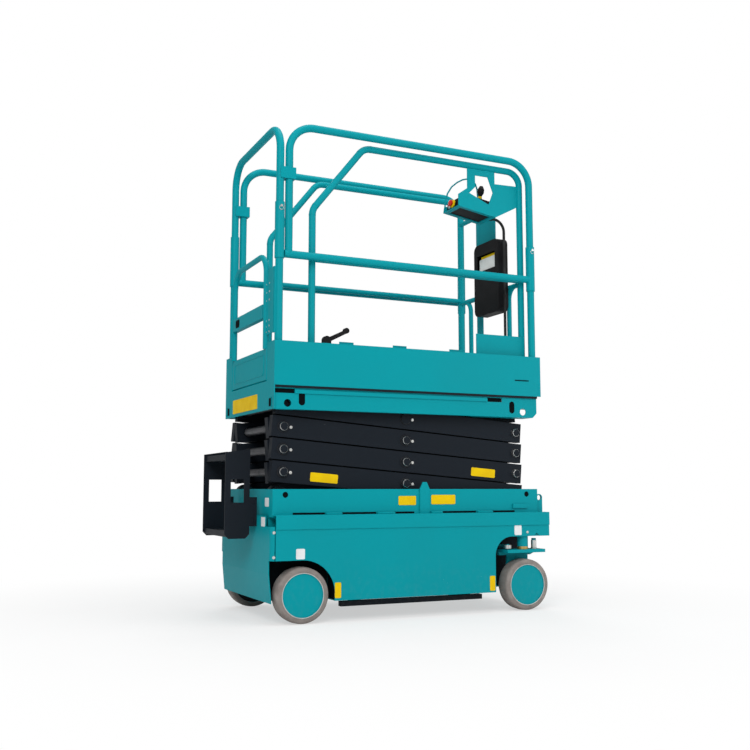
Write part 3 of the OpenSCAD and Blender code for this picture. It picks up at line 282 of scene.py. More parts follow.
@dataclass(frozen=True)
class Paint:
    """Sprayed coat with orange peel, uneven gloss, dust near the floor and small chips."""

    look: Look
    color: Triple
    worn: Triple
    rough: float
    peel: float = 0.06
    dust: float = 0.03
    chip_from: float = 0.74
    gloss: float = 0.08
    cloud_scale: float = 2.2
    cloud_range: Pair = (0.25, 0.8)
    cloud_share: float = 0.5
    cloud_dim: float = 0.86
    cloud_lift: float = 0.004
    streak_scale: float = 48.0
    streak_stretch: Triple = (1.0, 1.0, 0.7)
    streak_rough: float = 0.12
    dust_color: Triple = (0.32, 0.29, 0.25)
    dust_height: Pair = (0.05, 0.34)
    dust_range: Pair = (0.42, 0.72)
    dust_rough: float = 0.4
    chip_scale: float = 95.0
    chip_edge: float = 0.03
    chip_range: Pair = (0.5, 0.62)
    chip_sink: float = -0.6
    peel_scale: float = 620.0
    peel_depth: float = 0.0006
    rough_drop: float = 0.06

    def build(self) -> bpy.types.Material:
        """Makes the material.

        Returns:
            The finished coat.
        """
        shade = Shade.material(self.look.value)
        cloud = shade.noise(self.cloud_scale, detail=3.0)
        streak = shade.noise(self.streak_scale, detail=5.0, stretch=self.streak_stretch)
        speck = shade.noise(self.chip_scale, detail=5.0)
        low = 1.0 - shade.ramp(shade.height(), *self.dust_height)
        dirt = low * shade.ramp(streak, *self.dust_range) * self.dust
        dim = tuple(self.cloud_dim * c + self.cloud_lift for c in self.color)
        base = shade.mix(shade.ramp(cloud, *self.cloud_range) * self.cloud_share, rgba(self.color), rgba(dim))
        dusty = shade.mix(dirt, base, rgba(self.dust_color))
        bare = shade.ramp(speck, self.chip_from, self.chip_from + self.chip_edge)
        chips = bare * shade.ramp(cloud, *self.chip_range)
        color = shade.mix(chips, dusty, rgba(self.worn))
        rough = streak * self.streak_rough + dirt * self.dust_rough + (self.rough - self.rough_drop)
        skin = shade.noise(self.peel_scale, detail=1.0) + chips * self.chip_sink
        normal = shade.bump(skin, self.peel, self.peel_depth)
        return shade.surface(Base_Color=color, Roughness=rough, Normal=normal, Specular_IOR_Level=self.gloss)


@dataclass(frozen=True)
class Rubber:
    """Solid tyre or cable jacket: mottled, scuffed, matt."""

    look: Look
    color: Triple
    scuff: Triple
    rough: float
    grain: float = 0.25
    grain_scale: float = 520.0
    grain_rough: float = 0.12
    grain_depth: float = 0.0008
    mottle_scale: float = 38.0
    mottle_range: Pair = (0.3, 0.75)
    mottle_dim: float = 0.8
    mottle_rise: float = 0.6
    scuff_scale: float = 14.0
    scuff_range: Pair = (0.5, 0.72)
    scuff_share: float = 0.55
    gloss: float = 0.3

    def build(self) -> bpy.types.Material:
        """Makes the material.

        Returns:
            The finished rubber.
        """
        shade = Shade.material(self.look.value)
        mottle = shade.noise(self.mottle_scale, detail=5.0)
        grain = shade.noise(self.grain_scale)
        scuffs = shade.ramp(shade.noise(self.scuff_scale, detail=6.0), *self.scuff_range)
        dim = tuple(self.mottle_dim * c for c in self.color)
        base = shade.mix(shade.ramp(mottle, *self.mottle_range), rgba(self.color), rgba(dim))
        color = shade.mix(scuffs * self.scuff_share, base, rgba(self.scuff))
        rough = grain * self.grain_rough + self.rough
        normal = shade.bump(mottle * self.mottle_rise + grain, self.grain, self.grain_depth)
        return shade.surface(Base_Color=color, Roughness=rough, Normal=normal, Specular_IOR_Level=self.gloss)


@dataclass(frozen=True)
class Metal:
    """Bare metal with turning or grinding marks along one axis."""

    look: Look
    color: Triple
    rough: float
    marks: Triple = (1.0, 14.0, 1.0)
    mark_scale: float = 180.0
    mark_rough: float = 0.2
    mark_bump: float = 0.08
    mark_depth: float = 0.0004
    stain_scale: float = 22.0
    stain_range: Pair = (0.45, 0.8)
    stain_share: float = 0.5
    stain_dim: float = 0.62
    stain_rough: float = 0.15

    def build(self) -> bpy.types.Material:
        """Makes the material.

        Returns:
            The finished metal.
        """
        shade = Shade.material(self.look.value)
        grind = shade.noise(self.mark_scale, detail=3.0, stretch=self.marks)
        stain = shade.ramp(shade.noise(self.stain_scale, detail=4.0), *self.stain_range)
        dim = tuple(self.stain_dim * c for c in self.color)
        color = shade.mix(stain * self.stain_share, rgba(self.color), rgba(dim))
        rough = grind * self.mark_rough + stain * self.stain_rough + self.rough
        normal = shade.bump(grind, self.mark_bump, self.mark_depth)
        return shade.surface(Base_Color=color, Metallic=1.0, Roughness=rough, Normal=normal)


@dataclass(frozen=True)
class Moulding:
    """Plastic, print or paper: even colour with slight fading and a fine skin."""

    look: Look
    color: Triple
    faded: Triple
    rough: float
    skin: float = 0.12
    skin_scale: float = 700.0
    gloss: float = 0.35
    skin_depth: float = 0.0005
    fade_scale: float = 16.0
    fade_range: Pair = (0.35, 0.75)
    fade_rough: float = 0.1

    def build(self) -> bpy.types.Material:
        """Makes the material.

        Returns:
            The finished moulding.
        """
        shade = Shade.material(self.look.value)
        fade = shade.ramp(shade.noise(self.fade_scale, detail=4.0), *self.fade_range)
        color = shade.mix(fade, rgba(self.color), rgba(self.faded))
        rough = fade * self.fade_rough + self.rough
        normal = shade.bump(shade.noise(self.skin_scale), self.skin, self.skin_depth)
        return shade.surface(Base_Color=color, Roughness=rough, Normal=normal, Specular_IOR_Level=self.gloss)


FINISHES = (
    Paint(Look.TEAL, (0.0, 0.308, 0.358), (0.1, 0.38, 0.41), rough=0.45),
    Paint(Look.CHARCOAL, (0.011, 0.015, 0.021), (0.06, 0.065, 0.07), rough=0.4, peel=0.05),
    Rubber(Look.TYRE, (0.255, 0.222, 0.205), (0.36, 0.325, 0.3), rough=0.72),
    Rubber(Look.RIM, (0.62, 0.6, 0.57), (0.46, 0.44, 0.42), rough=0.55, grain=0.12),
    Metal(Look.STEEL, (0.72, 0.72, 0.7), rough=0.28),
    Metal(Look.PIN, (0.045, 0.046, 0.05), rough=0.4),
    Metal(Look.SHAFT, (0.15, 0.155, 0.165), rough=0.34),
    Metal(Look.ROD, (0.8, 0.8, 0.8), rough=0.12),
    Metal(Look.BRASS, (0.62, 0.43, 0.15), rough=0.3, marks=(1.0, 1.0, 14.0)),
    Moulding(Look.BLACK, (0.008, 0.008, 0.009), (0.015, 0.015, 0.016), rough=0.52, gloss=0.12),
    Rubber(Look.CABLE, (0.012, 0.012, 0.012), (0.04, 0.04, 0.04), rough=0.55, grain=0.15),
    Moulding(Look.YELLOW, (0.86, 0.58, 0.003), (0.78, 0.5, 0.004), rough=0.42, skin=0.05, gloss=0.08),
    Moulding(Look.WHITE, (0.82, 0.83, 0.84), (0.7, 0.71, 0.72), rough=0.4, skin=0.05),
    Moulding(Look.RED, (0.62, 0.02, 0.015), (0.5, 0.02, 0.015), rough=0.3, skin=0.05),
    Moulding(Look.PAPER, (0.84, 0.84, 0.82), (0.74, 0.74, 0.71), rough=0.7, skin=0.2, skin_scale=240.0),
    # near-black moulding: painted shade for slots, holes and gaps, and the display's own colour
    Moulding(Look.SHADOW, (0.002, 0.004, 0.005), (0.004, 0.007, 0.008), rough=0.8, gloss=0.05),
)


# Meshes


class Shop:
    """Makes pieces, gives them their finish and puts them on a body."""

    def __init__(self) -> None:
        """Makes every finish once."""
        self.finish = {item.look: item.build() for item in FINISHES}
        self.count = 0

    def put(self, name: str, mesh: bmesh.types.BMesh | bpy.types.Mesh, look: Look, body: str,
            replaces: Sequence[str] = (), smooth: float = 34.0) -> bpy.types.Object:
        """Turns a mesh into a piece of the machine.

        Args:
            name: name of the piece.
            mesh: mesh in the frame of the solids.
            look: finish of the piece; a mesh with its own materials keeps them.
            body: body that carries it.
            replaces: solids that the piece stands for.
            smooth: edges sharper than this many degrees stay sharp.

        Returns:
            The new object.
        """
        if isinstance(mesh, bmesh.types.BMesh):
            bmesh.ops.recalc_face_normals(mesh, faces=mesh.faces)
            data = bpy.data.meshes.new(name)
            mesh.to_mesh(data)
            mesh.free()
        else:
            data = mesh
            data.name = name
        if not data.materials:
            data.materials.append(self.finish[look])
        data.shade_smooth()
        data.set_sharp_from_angle(angle=math.radians(smooth))
        piece = bpy.data.objects.new(name, data)
        bpy.context.scene.collection.objects.link(piece)
        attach(piece, body)
        if replaces:
            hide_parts(*replaces)
        self.count += 1
        LOG.info("%s rides on %s, %d faces", name, body, len(data.polygons))
        return piece


def add_box(bm: bmesh.types.BMesh, low: Sequence[float], high: Sequence[float], round_by: float = 0.0,
            steps: int = 2) -> list[bmesh.types.BMVert]:
    """Adds a box with rounded edges.

    Args:
        bm: mesh to add to.
        low: lowest corner.
        high: highest corner.
        round_by: radius of the edges.
        steps: faces round each edge.

    Returns:
        The new vertices.
    """
    low, high = Vector(low), Vector(high)
    size = high - low
    matrix = Matrix.Translation((low + high) / 2) @ Matrix.Diagonal((*size, 1.0))
    part = bmesh.new()
    bmesh.ops.create_cube(part, size=1.0, matrix=matrix)
    if round_by > 0:
        bmesh.ops.bevel(part, geom=part.edges[:], offset=round_by, segments=steps, profile=0.5,
                        affect="EDGES")
    return merge(bm, part)


def merge(bm: bmesh.types.BMesh, part: bmesh.types.BMesh) -> list[bmesh.types.BMVert]:
    """Moves a part into a mesh.

    Args:
        bm: mesh to add to.
        part: mesh that is used up.

    Returns:
        The new vertices.
    """
    data = bpy.data.meshes.new("part")
    part.to_mesh(data)
    part.free()
    before = len(bm.verts)
    bm.from_mesh(data)
    bpy.data.meshes.remove(data)
    bm.verts.ensure_lookup_table()
    return bm.verts[before:]


def frame_along(origin: Sequence[float], axis: Sequence[float]) -> Matrix:
    """Matrix that carries Z to an axis and zero to a point."""
    turn = Vector(axis).normalized().to_track_quat("Z", "Y")
    return Matrix.Translation(Vector(origin)) @ turn.to_matrix().to_4x4()


def plane_at(place: Sequence[float], out: Sequence[float]) -> Matrix:
    """Matrix that carries X and Y to an upright plane at a place, and Z to its level way out.

    Args:
        place: middle of the plane.
        out: direction that it faces.

    Returns:
        The matrix.
    """
    ahead = Vector(out)
    right = Vector((0.0, 0.0, 1.0)).cross(ahead).normalized()
    turn = Matrix((right, ahead.cross(right), ahead)).transposed().to_4x4()
    return Matrix.Translation(place) @ turn


def around(sides: int) -> list[Pair]:
    """Cosine and sine of each equal step of a circle."""
    return [(math.cos(math.tau * k / sides), math.sin(math.tau * k / sides)) for k in range(sides)]


def add_turned(bm: bmesh.types.BMesh, origin: Sequence[float], axis: Sequence[float], profile: Profile,
               sides: int = 48) -> None:
    """Adds a turned shape.

    Args:
        bm: mesh to add to.
        origin: point where the profile's lengths start.
        axis: turning axis.
        profile: (radius, length) pairs; a radius of zero closes the end.
        sides: faces round the shape.
    """
    part = bmesh.new()
    rings = []
    for radius, length in profile:
        if radius == 0:
            rings.append([part.verts.new((0.0, 0.0, length))])
        else:
            rings.append([part.verts.new((radius * c, radius * s, length)) for c, s in around(sides)])
    for first, second in zip(rings, rings[1:]):
        for k in range(sides):
            loop = [first[k % len(first)], first[(k + 1) % len(first)],
                    second[(k + 1) % len(second)], second[k % len(second)]]
            part.faces.new(list(dict.fromkeys(loop)))
    part.transform(frame_along(origin, axis))
    merge(bm, part)


def add_tube(bm: bmesh.types.BMesh, points: Sequence[Sequence[float]], radius: float,
             sides: int = 12) -> None:
    """Adds a round tube with closed ends along a path.

    Args:
        bm: mesh to add to.
        points: points of the path.
        radius: radius of the tube.
        sides: faces round the tube.
    """
    path = [Vector(p) for p in points]
    part = bmesh.new()
    ahead = (path[1] - path[0]).normalized()
    across = ahead.orthogonal().normalized()
    rings = []
    for i, point in enumerate(path):
        new = (path[min(i + 1, len(path) - 1)] - path[max(i - 1, 0)]).normalized()
        across = (ahead.rotation_difference(new) @ across).normalized()
        ahead = new
        other = ahead.cross(across)
        rings.append([part.verts.new(point + radius * (c * across + s * other)) for c, s in around(sides)])
    for first, second in zip(rings, rings[1:]):
        for k in range(sides):
            part.faces.new((first[k], first[(k + 1) % sides], second[(k + 1) % sides], second[k]))
    part.faces.new(rings[0][::-1])
    part.faces.new(rings[-1])
    merge(bm, part)


def add_prism(bm: bmesh.types.BMesh, outline: Profile, matrix: Matrix, depth: float) -> None:
    """Adds a flat shape of some thickness.

    Args:
        bm: mesh to add to.
        outline: points in the plane.
        matrix: carries the plane to its place; the depth runs along Z.
        depth: thickness.
    """
    part = bmesh.new()
    low, high = ([part.verts.new((x, y, z)) for x, y in outline] for z in (0.0, depth))
    part.faces.new(low)
    part.faces.new(high)
    for k in range(len(low)):
        part.faces.new((low[k - 1], low[k], high[k], high[k - 1]))
    part.transform(matrix)
    merge(bm, part)


def round_rect(width: float, height: float, radius: float, steps: int = 5) -> list[Pair]:
    """Outline of a rectangle with round corners.

    Args:
        width: its width.
        height: its height.
        radius: radius of the corners.
        steps: edges round each corner.

    Returns:
        Points about its middle.
    """
    points = []
    for turn in range(4):
        cx = (width / 2 - radius) * (1 if turn in (0, 3) else -1)
        cy = (height / 2 - radius) * (1 if turn in (0, 1) else -1)
        for k in range(steps + 1):
            angle = QUARTER_TURN * (turn + k / steps)
            points.append((cx + radius * math.cos(angle), cy + radius * math.sin(angle)))
    return points


# Geometry Nodes


class Graph:
    """Geometry Nodes tree built from named inputs."""

    def __init__(self, name: str) -> None:
        """Starts an empty tree with one geometry input and output.

        Args:
            name: name of the tree.
        """
        self.tree = bpy.data.node_groups.new(name, "GeometryNodeTree")
        self.tree.interface.new_socket("Geometry", in_out="INPUT", socket_type="NodeSocketGeometry")
        self.tree.interface.new_socket("Geometry", in_out="OUTPUT", socket_type="NodeSocketGeometry")
        self.entry = self.tree.nodes.new("NodeGroupInput")
        self.exit = self.tree.nodes.new("NodeGroupOutput")
        self.keys: dict[str, str] = {}

    def size(self, name: str, kind: str = "NodeSocketFloat") -> bpy.types.NodeSocket:
        """Adds a named input and gives its socket inside the tree."""
        self.keys[name] = self.tree.interface.new_socket(name, in_out="INPUT", socket_type=kind).identifier
        return self.entry.outputs[name]

    def node(self, kind: str, settings: dict[str, Any] | None = None, inputs: dict[Any, Any] | None = None,
             out: int = 0) -> bpy.types.NodeSocket:
        """Adds a node.

        Args:
            kind: type of the node.
            settings: properties set first.
            inputs: values or links of its sockets, by name or number; a list joins several links.
            out: number of the output that is wanted.

        Returns:
            The output socket.
        """
        node = self.tree.nodes.new(kind)
        for key, value in (settings or {}).items():
            setattr(node, key, value)
        for key, value in (inputs or {}).items():
            for item in value if isinstance(value, list) else [value]:
                if isinstance(item, bpy.types.NodeSocket):
                    self.tree.links.new(item, node.inputs[key])
                else:
                    node.inputs[key].default_value = item
        return node.outputs[out]

    def end(self, geometry: bpy.types.NodeSocket) -> None:
        """Realizes the instances, sets the material and closes the tree.

        Args:
            geometry: what the tree has made.
        """
        material = self.size("Finish", "NodeSocketMaterial")
        real = self.node("GeometryNodeRealizeInstances", {}, {"Geometry": geometry})
        done = self.node("GeometryNodeSetMaterial", {}, {"Geometry": real, "Material": material})
        self.tree.links.new(done, self.exit.inputs[0])

    def bake(self, mesh: bpy.types.Mesh, values: dict[str, Any]) -> bpy.types.Mesh:
        """Runs the tree on a mesh.

        Args:
            mesh: mesh that goes in.
            values: values of the named inputs.

        Returns:
            The finished plain mesh.
        """
        host = bpy.data.objects.new("host", mesh)
        bpy.context.scene.collection.objects.link(host)
        modifier = host.modifiers.new("tree", "NODES")
        modifier.node_group = self.tree
        for name, value in values.items():
            modifier[self.keys[name]] = value
        result = bpy.data.meshes.new_from_object(host.evaluated_get(bpy.context.evaluated_depsgraph_get()))
        host.modifiers.remove(modifier)
        bpy.data.objects.remove(host)
        bpy.data.meshes.remove(mesh)
        return result


@dataclass
class BoltSize:
    """Sizes of a hexagon head on a washer."""

    head: float = 0.0065
    tall: float = 0.0042
    washer: float = 0.0085
    thin: float = 0.0014


class Bolts:
    """Hexagon bolts set on points, each along its own direction."""

    head_sides: int = 6
    washer_sides: int = 16

    def __init__(self) -> None:
        """Builds the tree."""
        graph = Graph("hex_bolts")
        head, tall = graph.size("Head"), graph.size("Tall")
        washer, thin = graph.size("Washer"), graph.size("Thin")
        parts = [self._disc(graph, self.head_sides, head, tall),
                 self._disc(graph, self.washer_sides, washer, thin)]
        joined = graph.node("GeometryNodeJoinGeometry", {}, {0: parts})
        facing = graph.node("GeometryNodeInputNamedAttribute", {"data_type": "FLOAT_VECTOR"},
                            {"Name": "facing"})
        turn = graph.node("FunctionNodeAlignRotationToVector", {"axis": "Z"}, {"Vector": facing})
        graph.end(graph.node("GeometryNodeInstanceOnPoints", {},
                             {"Points": graph.entry.outputs[0], "Instance": joined, "Rotation": turn}))
        self.graph = graph

    @staticmethod
    def _disc(graph: Graph, sides: int, radius: bpy.types.NodeSocket,
              tall: bpy.types.NodeSocket) -> bpy.types.NodeSocket:
        """A disc that is sunk to its middle, so that half of it stands proud."""
        twice = graph.node("ShaderNodeMath", {"operation": "MULTIPLY"}, {0: tall, 1: 2.0})
        return graph.node("GeometryNodeMeshCylinder", {},
                          {"Vertices": sides, "Radius": radius, "Depth": twice})

    def field(self, places: Sequence[tuple[Sequence[float], Sequence[float]]], size: BoltSize,
              finish: bpy.types.Material) -> bpy.types.Mesh:
        """Sets bolts at places.

        Args:
            places: (point, direction) pairs.
            size: sizes of a bolt.
            finish: material of the bolts.

        Returns:
            One mesh with all of them.
        """
        mesh = bpy.data.meshes.new("bolt_points")
        mesh.from_pydata([tuple(p) for p, _ in places], [], [])
        attribute = mesh.attributes.new("facing", "FLOAT_VECTOR", "POINT")
        for item, (_, direction) in zip(attribute.data, places):
            item.vector = direction
        return self.graph.bake(mesh, {"Head": size.head, "Tall": size.tall, "Washer": size.washer,
                                      "Thin": size.thin, "Finish": finish})


@dataclass
class TreadSize:
    """Sizes of a raised tread pattern on a flat sheet."""

    pitch: float = 0.036
    long: float = 0.012
    wide: float = 0.0035
    tall: float = 0.0016


class Tread:
    """Raised lozenges in two crossed sets on a level rectangle."""

    sides: int = 8
    top_share: float = 0.6

    def __init__(self) -> None:
        """Builds the tree."""
        graph = Graph("tread_pattern")
        long, wide, tall = graph.size("Long"), graph.size("Wide"), graph.size("Tall")
        place = graph.size("Middle", "NodeSocketVector")
        size_x, size_y = graph.size("Size X"), graph.size("Size Y")
        count_x, count_y = graph.size("Count X", "NodeSocketInt"), graph.size("Count Y", "NodeSocketInt")
        half = graph.size("Half Pitch")
        cone = graph.node("GeometryNodeMeshCone", {}, {"Vertices": self.sides, "Radius Top": self.top_share,
                                                       "Radius Bottom": 1.0, "Depth": 1.0})
        scale = graph.node("ShaderNodeCombineXYZ", {}, {0: long, 1: wide, 2: tall})
        sets = []
        for turn, shift in ((QUARTER_TURN / 2, 0.0), (-QUARTER_TURN / 2, 1.0)):
            grid = graph.node("GeometryNodeMeshGrid", {}, {"Size X": size_x, "Size Y": size_y,
                                                           "Vertices X": count_x, "Vertices Y": count_y})
            offset = graph.node("ShaderNodeMath", {"operation": "MULTIPLY"}, {0: half, 1: shift})
            along = graph.node("ShaderNodeCombineXYZ", {}, {0: offset, 1: 0.0, 2: 0.0})
            there = graph.node("ShaderNodeVectorMath", {"operation": "ADD"}, {0: place, 1: along})
            moved = graph.node("GeometryNodeTransform", {}, {"Geometry": grid, "Translation": there})
            sets.append(graph.node("GeometryNodeInstanceOnPoints", {}, {
                "Points": moved, "Instance": cone, "Rotation": (0.0, 0.0, turn), "Scale": scale}))
        graph.end(graph.node("GeometryNodeJoinGeometry", {}, {0: sets}))
        self.graph = graph

    def sheet(self, low: Sequence[float], high: Sequence[float], top: float, size: TreadSize,
              finish: bpy.types.Material) -> bpy.types.Mesh:
        """Covers a rectangle with the pattern.

        Args:
            low: lower corner in x and y.
            high: upper corner in x and y.
            top: height of the sheet.
            size: sizes of the pattern.
            finish: material of the sheet.

        Returns:
            One mesh with all the lozenges.
        """
        width, depth = high[0] - low[0] - 2 * size.pitch, high[1] - low[1] - size.pitch
        count_x, count_y = max(2, round(width / size.pitch)), max(2, round(depth / size.pitch))
        middle = ((low[0] + high[0]) / 2, (low[1] + high[1]) / 2, top)
        return self.graph.bake(bpy.data.meshes.new("empty"), {
            "Long": size.long, "Wide": size.wide, "Tall": size.tall, "Middle": middle, "Size X": width,
            "Size Y": depth, "Count X": count_x, "Count Y": count_y, "Half Pitch": size.pitch / 2,
            "Finish": finish})


# Sub-assemblies


def middle_of(node: str) -> Vector:
    """Middle of a solid's box."""
    low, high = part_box(node)
    return (Vector(low) + Vector(high)) / 2


@dataclass
class Wheels:
    """Solid tyres with round shoulders, pale rim bands and the rear discs' dark backs, in metres."""

    shoulder: float = 0.013
    crown: float = 0.0015
    rib: float = 0.0012
    steps: int = 6
    band: float = 0.0032
    band_sink: float = 0.003
    band_lip: float = 0.0004
    band_bevel: float = 0.0008
    band_proud: float = 0.0012
    band_fall: float = 0.0006
    back: float = 0.0012
    back_bore: float = 0.056
    back_edge: float = 0.002
    back_sink: float = 0.0004

    def build(self, shop: Shop) -> None:
        """Makes the four wheels' dress.

        Args:
            shop: maker of the pieces.
        """
        for end in ("front", "rear"):
            for side in Side:
                self._wheel(shop, f"{end}_{side.word}", side)

    def _wheel(self, shop: Shop, name: str, side: Side) -> None:
        """Dresses one wheel.

        Args:
            shop: maker of the pieces.
            name: end and side of the wheel.
            side: side that its outer face looks to.
        """
        tyre, hub, body = f"tyre_{name}", f"hub_{name}", f"wheel_{name}"
        low, high = (Vector(v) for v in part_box(tyre))
        hub_low, hub_high = (Vector(v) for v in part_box(hub))
        middle = (low + high) / 2
        bore = (hub_high.x - hub_low.x) / 2
        inner = low.y if side is Side.LEFT else high.y
        outer = hub_high.y if side is Side.LEFT else hub_low.y
        bm = bmesh.new()
        section = self._profile(bore, (high.x - low.x) / 2, high.y - low.y)
        add_turned(bm, (middle.x, inner, middle.z), side.out, section, WHEEL_SIDES)
        shop.put(f"solid_tyre_{name}", bm, Look.TYRE, body, (tyre,))
        bm = bmesh.new()
        add_turned(bm, (middle.x, outer, middle.z), side.out, self._band(bore), WHEEL_SIDES)
        shop.put(f"rim_band_{name}", bm, Look.RIM, body)
        if name.startswith("rear"):
            bm = bmesh.new()
            add_turned(bm, (middle.x, inner, middle.z), side.out, self._back(bore), WHEEL_SIDES)
            shop.put(f"hub_back_{name}", bm, Look.BLACK, body)

    def _profile(self, bore: float, radius: float, width: float) -> list[Pair]:
        """Section of a tyre from its inner to its outer face.

        Args:
            bore: radius of the disc that it sits on.
            radius: outer radius.
            width: width of the tyre.

        Returns:
            The section as (radius, length) pairs.
        """
        edge = radius - self.crown
        points = [(bore, 0.0), (bore + self.rib, 0.0), (edge - self.shoulder, 0.0)]
        for k in range(1, self.steps + 1):
            angle = QUARTER_TURN * k / self.steps
            points.append((edge - self.shoulder * (1 - math.sin(angle)),
                           self.shoulder * (1 - math.cos(angle))))
        points.append((radius, width / 2))
        mirrored = [(r, width - t) for r, t in reversed(points[:-1])]
        return points + mirrored + [points[0]]

    def _band(self, bore: float) -> list[Pair]:
        """Section of the pale band round a disc.

        Args:
            bore: radius where tyre and disc meet.

        Returns:
            The section as (radius, length) pairs.
        """
        inside = bore - self.band
        foot = inside - self.band_fall
        return [(bore, -self.band_sink), (bore, self.band_lip), (bore - self.band_bevel, self.band_proud),
                (inside, self.band_proud), (foot, 0.0), (foot, -self.band_sink)]

    def _back(self, bore: float) -> list[Pair]:
        """Section of the dark cover on the inner face of a disc."""
        inside, outside = self.back_bore, bore - self.rib
        return [(inside, self.back_sink), (inside, -self.back), (outside - self.back_edge, -self.back),
                (outside, 0.0), (outside, self.back_sink), (inside, self.back_sink)]


class Datum:
    """Places in millimetres from midway between the axles, as the machine is measured."""

    def __init__(self) -> None:
        """Finds the axles of the loaded frame."""
        self.shift = (middle_of("tyre_front_right").x + middle_of("tyre_rear_right").x) / 2

    def at(self, x: float, y: float, z: float) -> Vector:
        """A place in the frame's metres."""
        return Vector((x / MM_PER_M + self.shift, y / MM_PER_M, z / MM_PER_M))

    def box(self, bm: bmesh.types.BMesh, x: Sequence[float], y: Sequence[float], z: Sequence[float],
            round_by: float = 0.0) -> None:
        """Adds a box between pairs of low and high places."""
        add_box(bm, self.at(x[0], y[0], z[0]), self.at(x[1], y[1], z[1]), round_by)


@dataclass
class ScissorTrim:
    """Pin rings and ends, keeper bolts, shaft sleeves and dark bracket cheeks of the scissor.

    Places are in millimetres and sections of turned parts in metres.
    """

    bolt: BoltSize
    arm: float = ARM_LENGTH
    stage: float = STAGE_HEIGHT
    rear_x: float = -639.0
    base_z: float = 546.0
    face_y: float = 302.0
    cap_y: float = 308.0
    aside: float = 36.0
    stages: int = 4
    ring: Pair = (0.0231, 0.0034)
    front_ring: Pair = (0.0182, 0.0046)
    ring_sink: float = 0.001
    ring_edge: float = 0.0014
    ring_proud: float = 0.0034
    boss: Profile = ((0.0, -0.001), (0.0185, -0.001), (0.0185, 0.0072), (0.0172, 0.0088), (0.0, 0.0088))
    boss_face: Profile = ((0.0, 0.0078), (0.0170, 0.0078), (0.0170, 0.0091), (0.0120, 0.0094), (0.0, 0.0095))
    sleeve: float = 190.0
    sleeve_r: float = 0.0188
    sleeve_bore: float = 0.0181
    collar_r: float = 0.0215
    collar_taper: Pair = (0.020, 0.014)
    cheek_r: float = 37.6
    cheek_bevel: float = 0.001
    cheeks: Sequence[Pair] = ((199.6, 211.8), (252.2, 264.4))

    def along(self) -> Vector:
        """Direction of the outer arms at rest, from rear to front."""
        lean = math.asin(self.stage / self.arm)
        return Vector((math.cos(lean), 0.0, -math.sin(lean)))

    def build(self, shop: Shop, bolts: Bolts, datum: Datum) -> None:
        """Dresses every stage.

        Args:
            shop: maker of the pieces.
            bolts: maker of the bolts.
            datum: places of the machine.
        """
        along = self.along()
        for stage in range(1, self.stages + 1):
            rear = datum.at(self.rear_x, 0.0, self.base_z + stage * self.stage)
            middle = rear + along * self.arm / (2 * MM_PER_M)
            pins = [middle] if stage == self.stages else [rear, middle]
            self._pins(shop, bolts, stage, pins)
            self._shaft(shop, stage, rear)
            if stage > 1:
                self._front_pins(shop, stage - 1, rear + along * self.arm / MM_PER_M)
        self._cheeks(shop, datum.at(self.rear_x, 0.0, self.base_z))

    def _ring(self, bore: float, wide: float) -> list[Pair]:
        """Section of a ring with a chamfered edge."""
        outer, sink, proud = bore + wide, -self.ring_sink, self.ring_proud
        return [(bore, sink), (outer, sink), (outer, self.ring_edge), (bore + wide / 2, proud), (bore, proud),
                (bore, sink)]

    @staticmethod
    def _foot(pin: Vector, side: Side, y: float) -> Vector:
        """Place of a pin on one side, at a distance from the middle."""
        return Vector((pin.x, side.value * y / MM_PER_M, pin.z))

    def _pins(self, shop: Shop, bolts: Bolts, stage: int, pins: Sequence[Vector]) -> None:
        """Rings, ends and keepers of the pins that an outer pair carries.

        Args:
            shop: maker of the pieces.
            bolts: maker of the bolts.
            stage: number of the pair.
            pins: places of its pins on the machine's middle plane.
        """
        bm = bmesh.new()
        places = []
        for side in Side:
            for pin in pins:
                foot = self._foot(pin, side, self.face_y)
                add_turned(bm, foot, side.out, self._ring(*self.ring), PIN_SIDES)
                places.append((foot + self.along() * self.aside / MM_PER_M, side.out))
        shop.put(f"pin_rings_{stage}", bm, Look.PIN, f"outer_{stage}")
        if stage < self.stages:
            self._bosses(shop, f"outer_{stage}", "pin", stage, pins)
        mesh = bolts.field(places, self.bolt, shop.finish[Look.STEEL])
        shop.put(f"keeper_bolts_{stage}", mesh, Look.STEEL, f"outer_{stage}")

    def _front_pins(self, shop: Shop, stage: int, pin: Vector) -> None:
        """Rings and ends of the front pins of an inner pair.

        Args:
            shop: maker of the pieces.
            stage: number of the pair.
            pin: place of its front pin on the machine's middle plane.
        """
        bm = bmesh.new()
        for side in Side:
            foot = self._foot(pin, side, self.face_y)
            add_turned(bm, foot, side.out, self._ring(*self.front_ring), PIN_SIDES)
        shop.put(f"front_pin_rings_{stage}", bm, Look.PIN, f"inner_{stage}")
        self._bosses(shop, f"inner_{stage}", "front_pin", stage, [pin])

    def _bosses(self, shop: Shop, body: str, name: str, stage: int, pins: Sequence[Vector]) -> None:
        """Bright ends of the pins that a pair of arms carries, each with a dark face.

        Args:
            shop: maker of the pieces.
            body: body of the pair.
            name: what the pins are called.
            stage: number of the pair.
            pins: places of the pins on the machine's middle plane.
        """
        bosses, faces = bmesh.new(), bmesh.new()
        for side in Side:
            for pin in pins:
                foot = self._foot(pin, side, self.cap_y)
                add_turned(bosses, foot, side.out, self.boss, PIN_SIDES)
                add_turned(faces, foot, side.out, self.boss_face, PIN_SIDES)
        shop.put(f"{name}_ends_{stage}", bosses, Look.STEEL, body)
        shop.put(f"{name}_faces_{stage}", faces, Look.CHARCOAL, body)

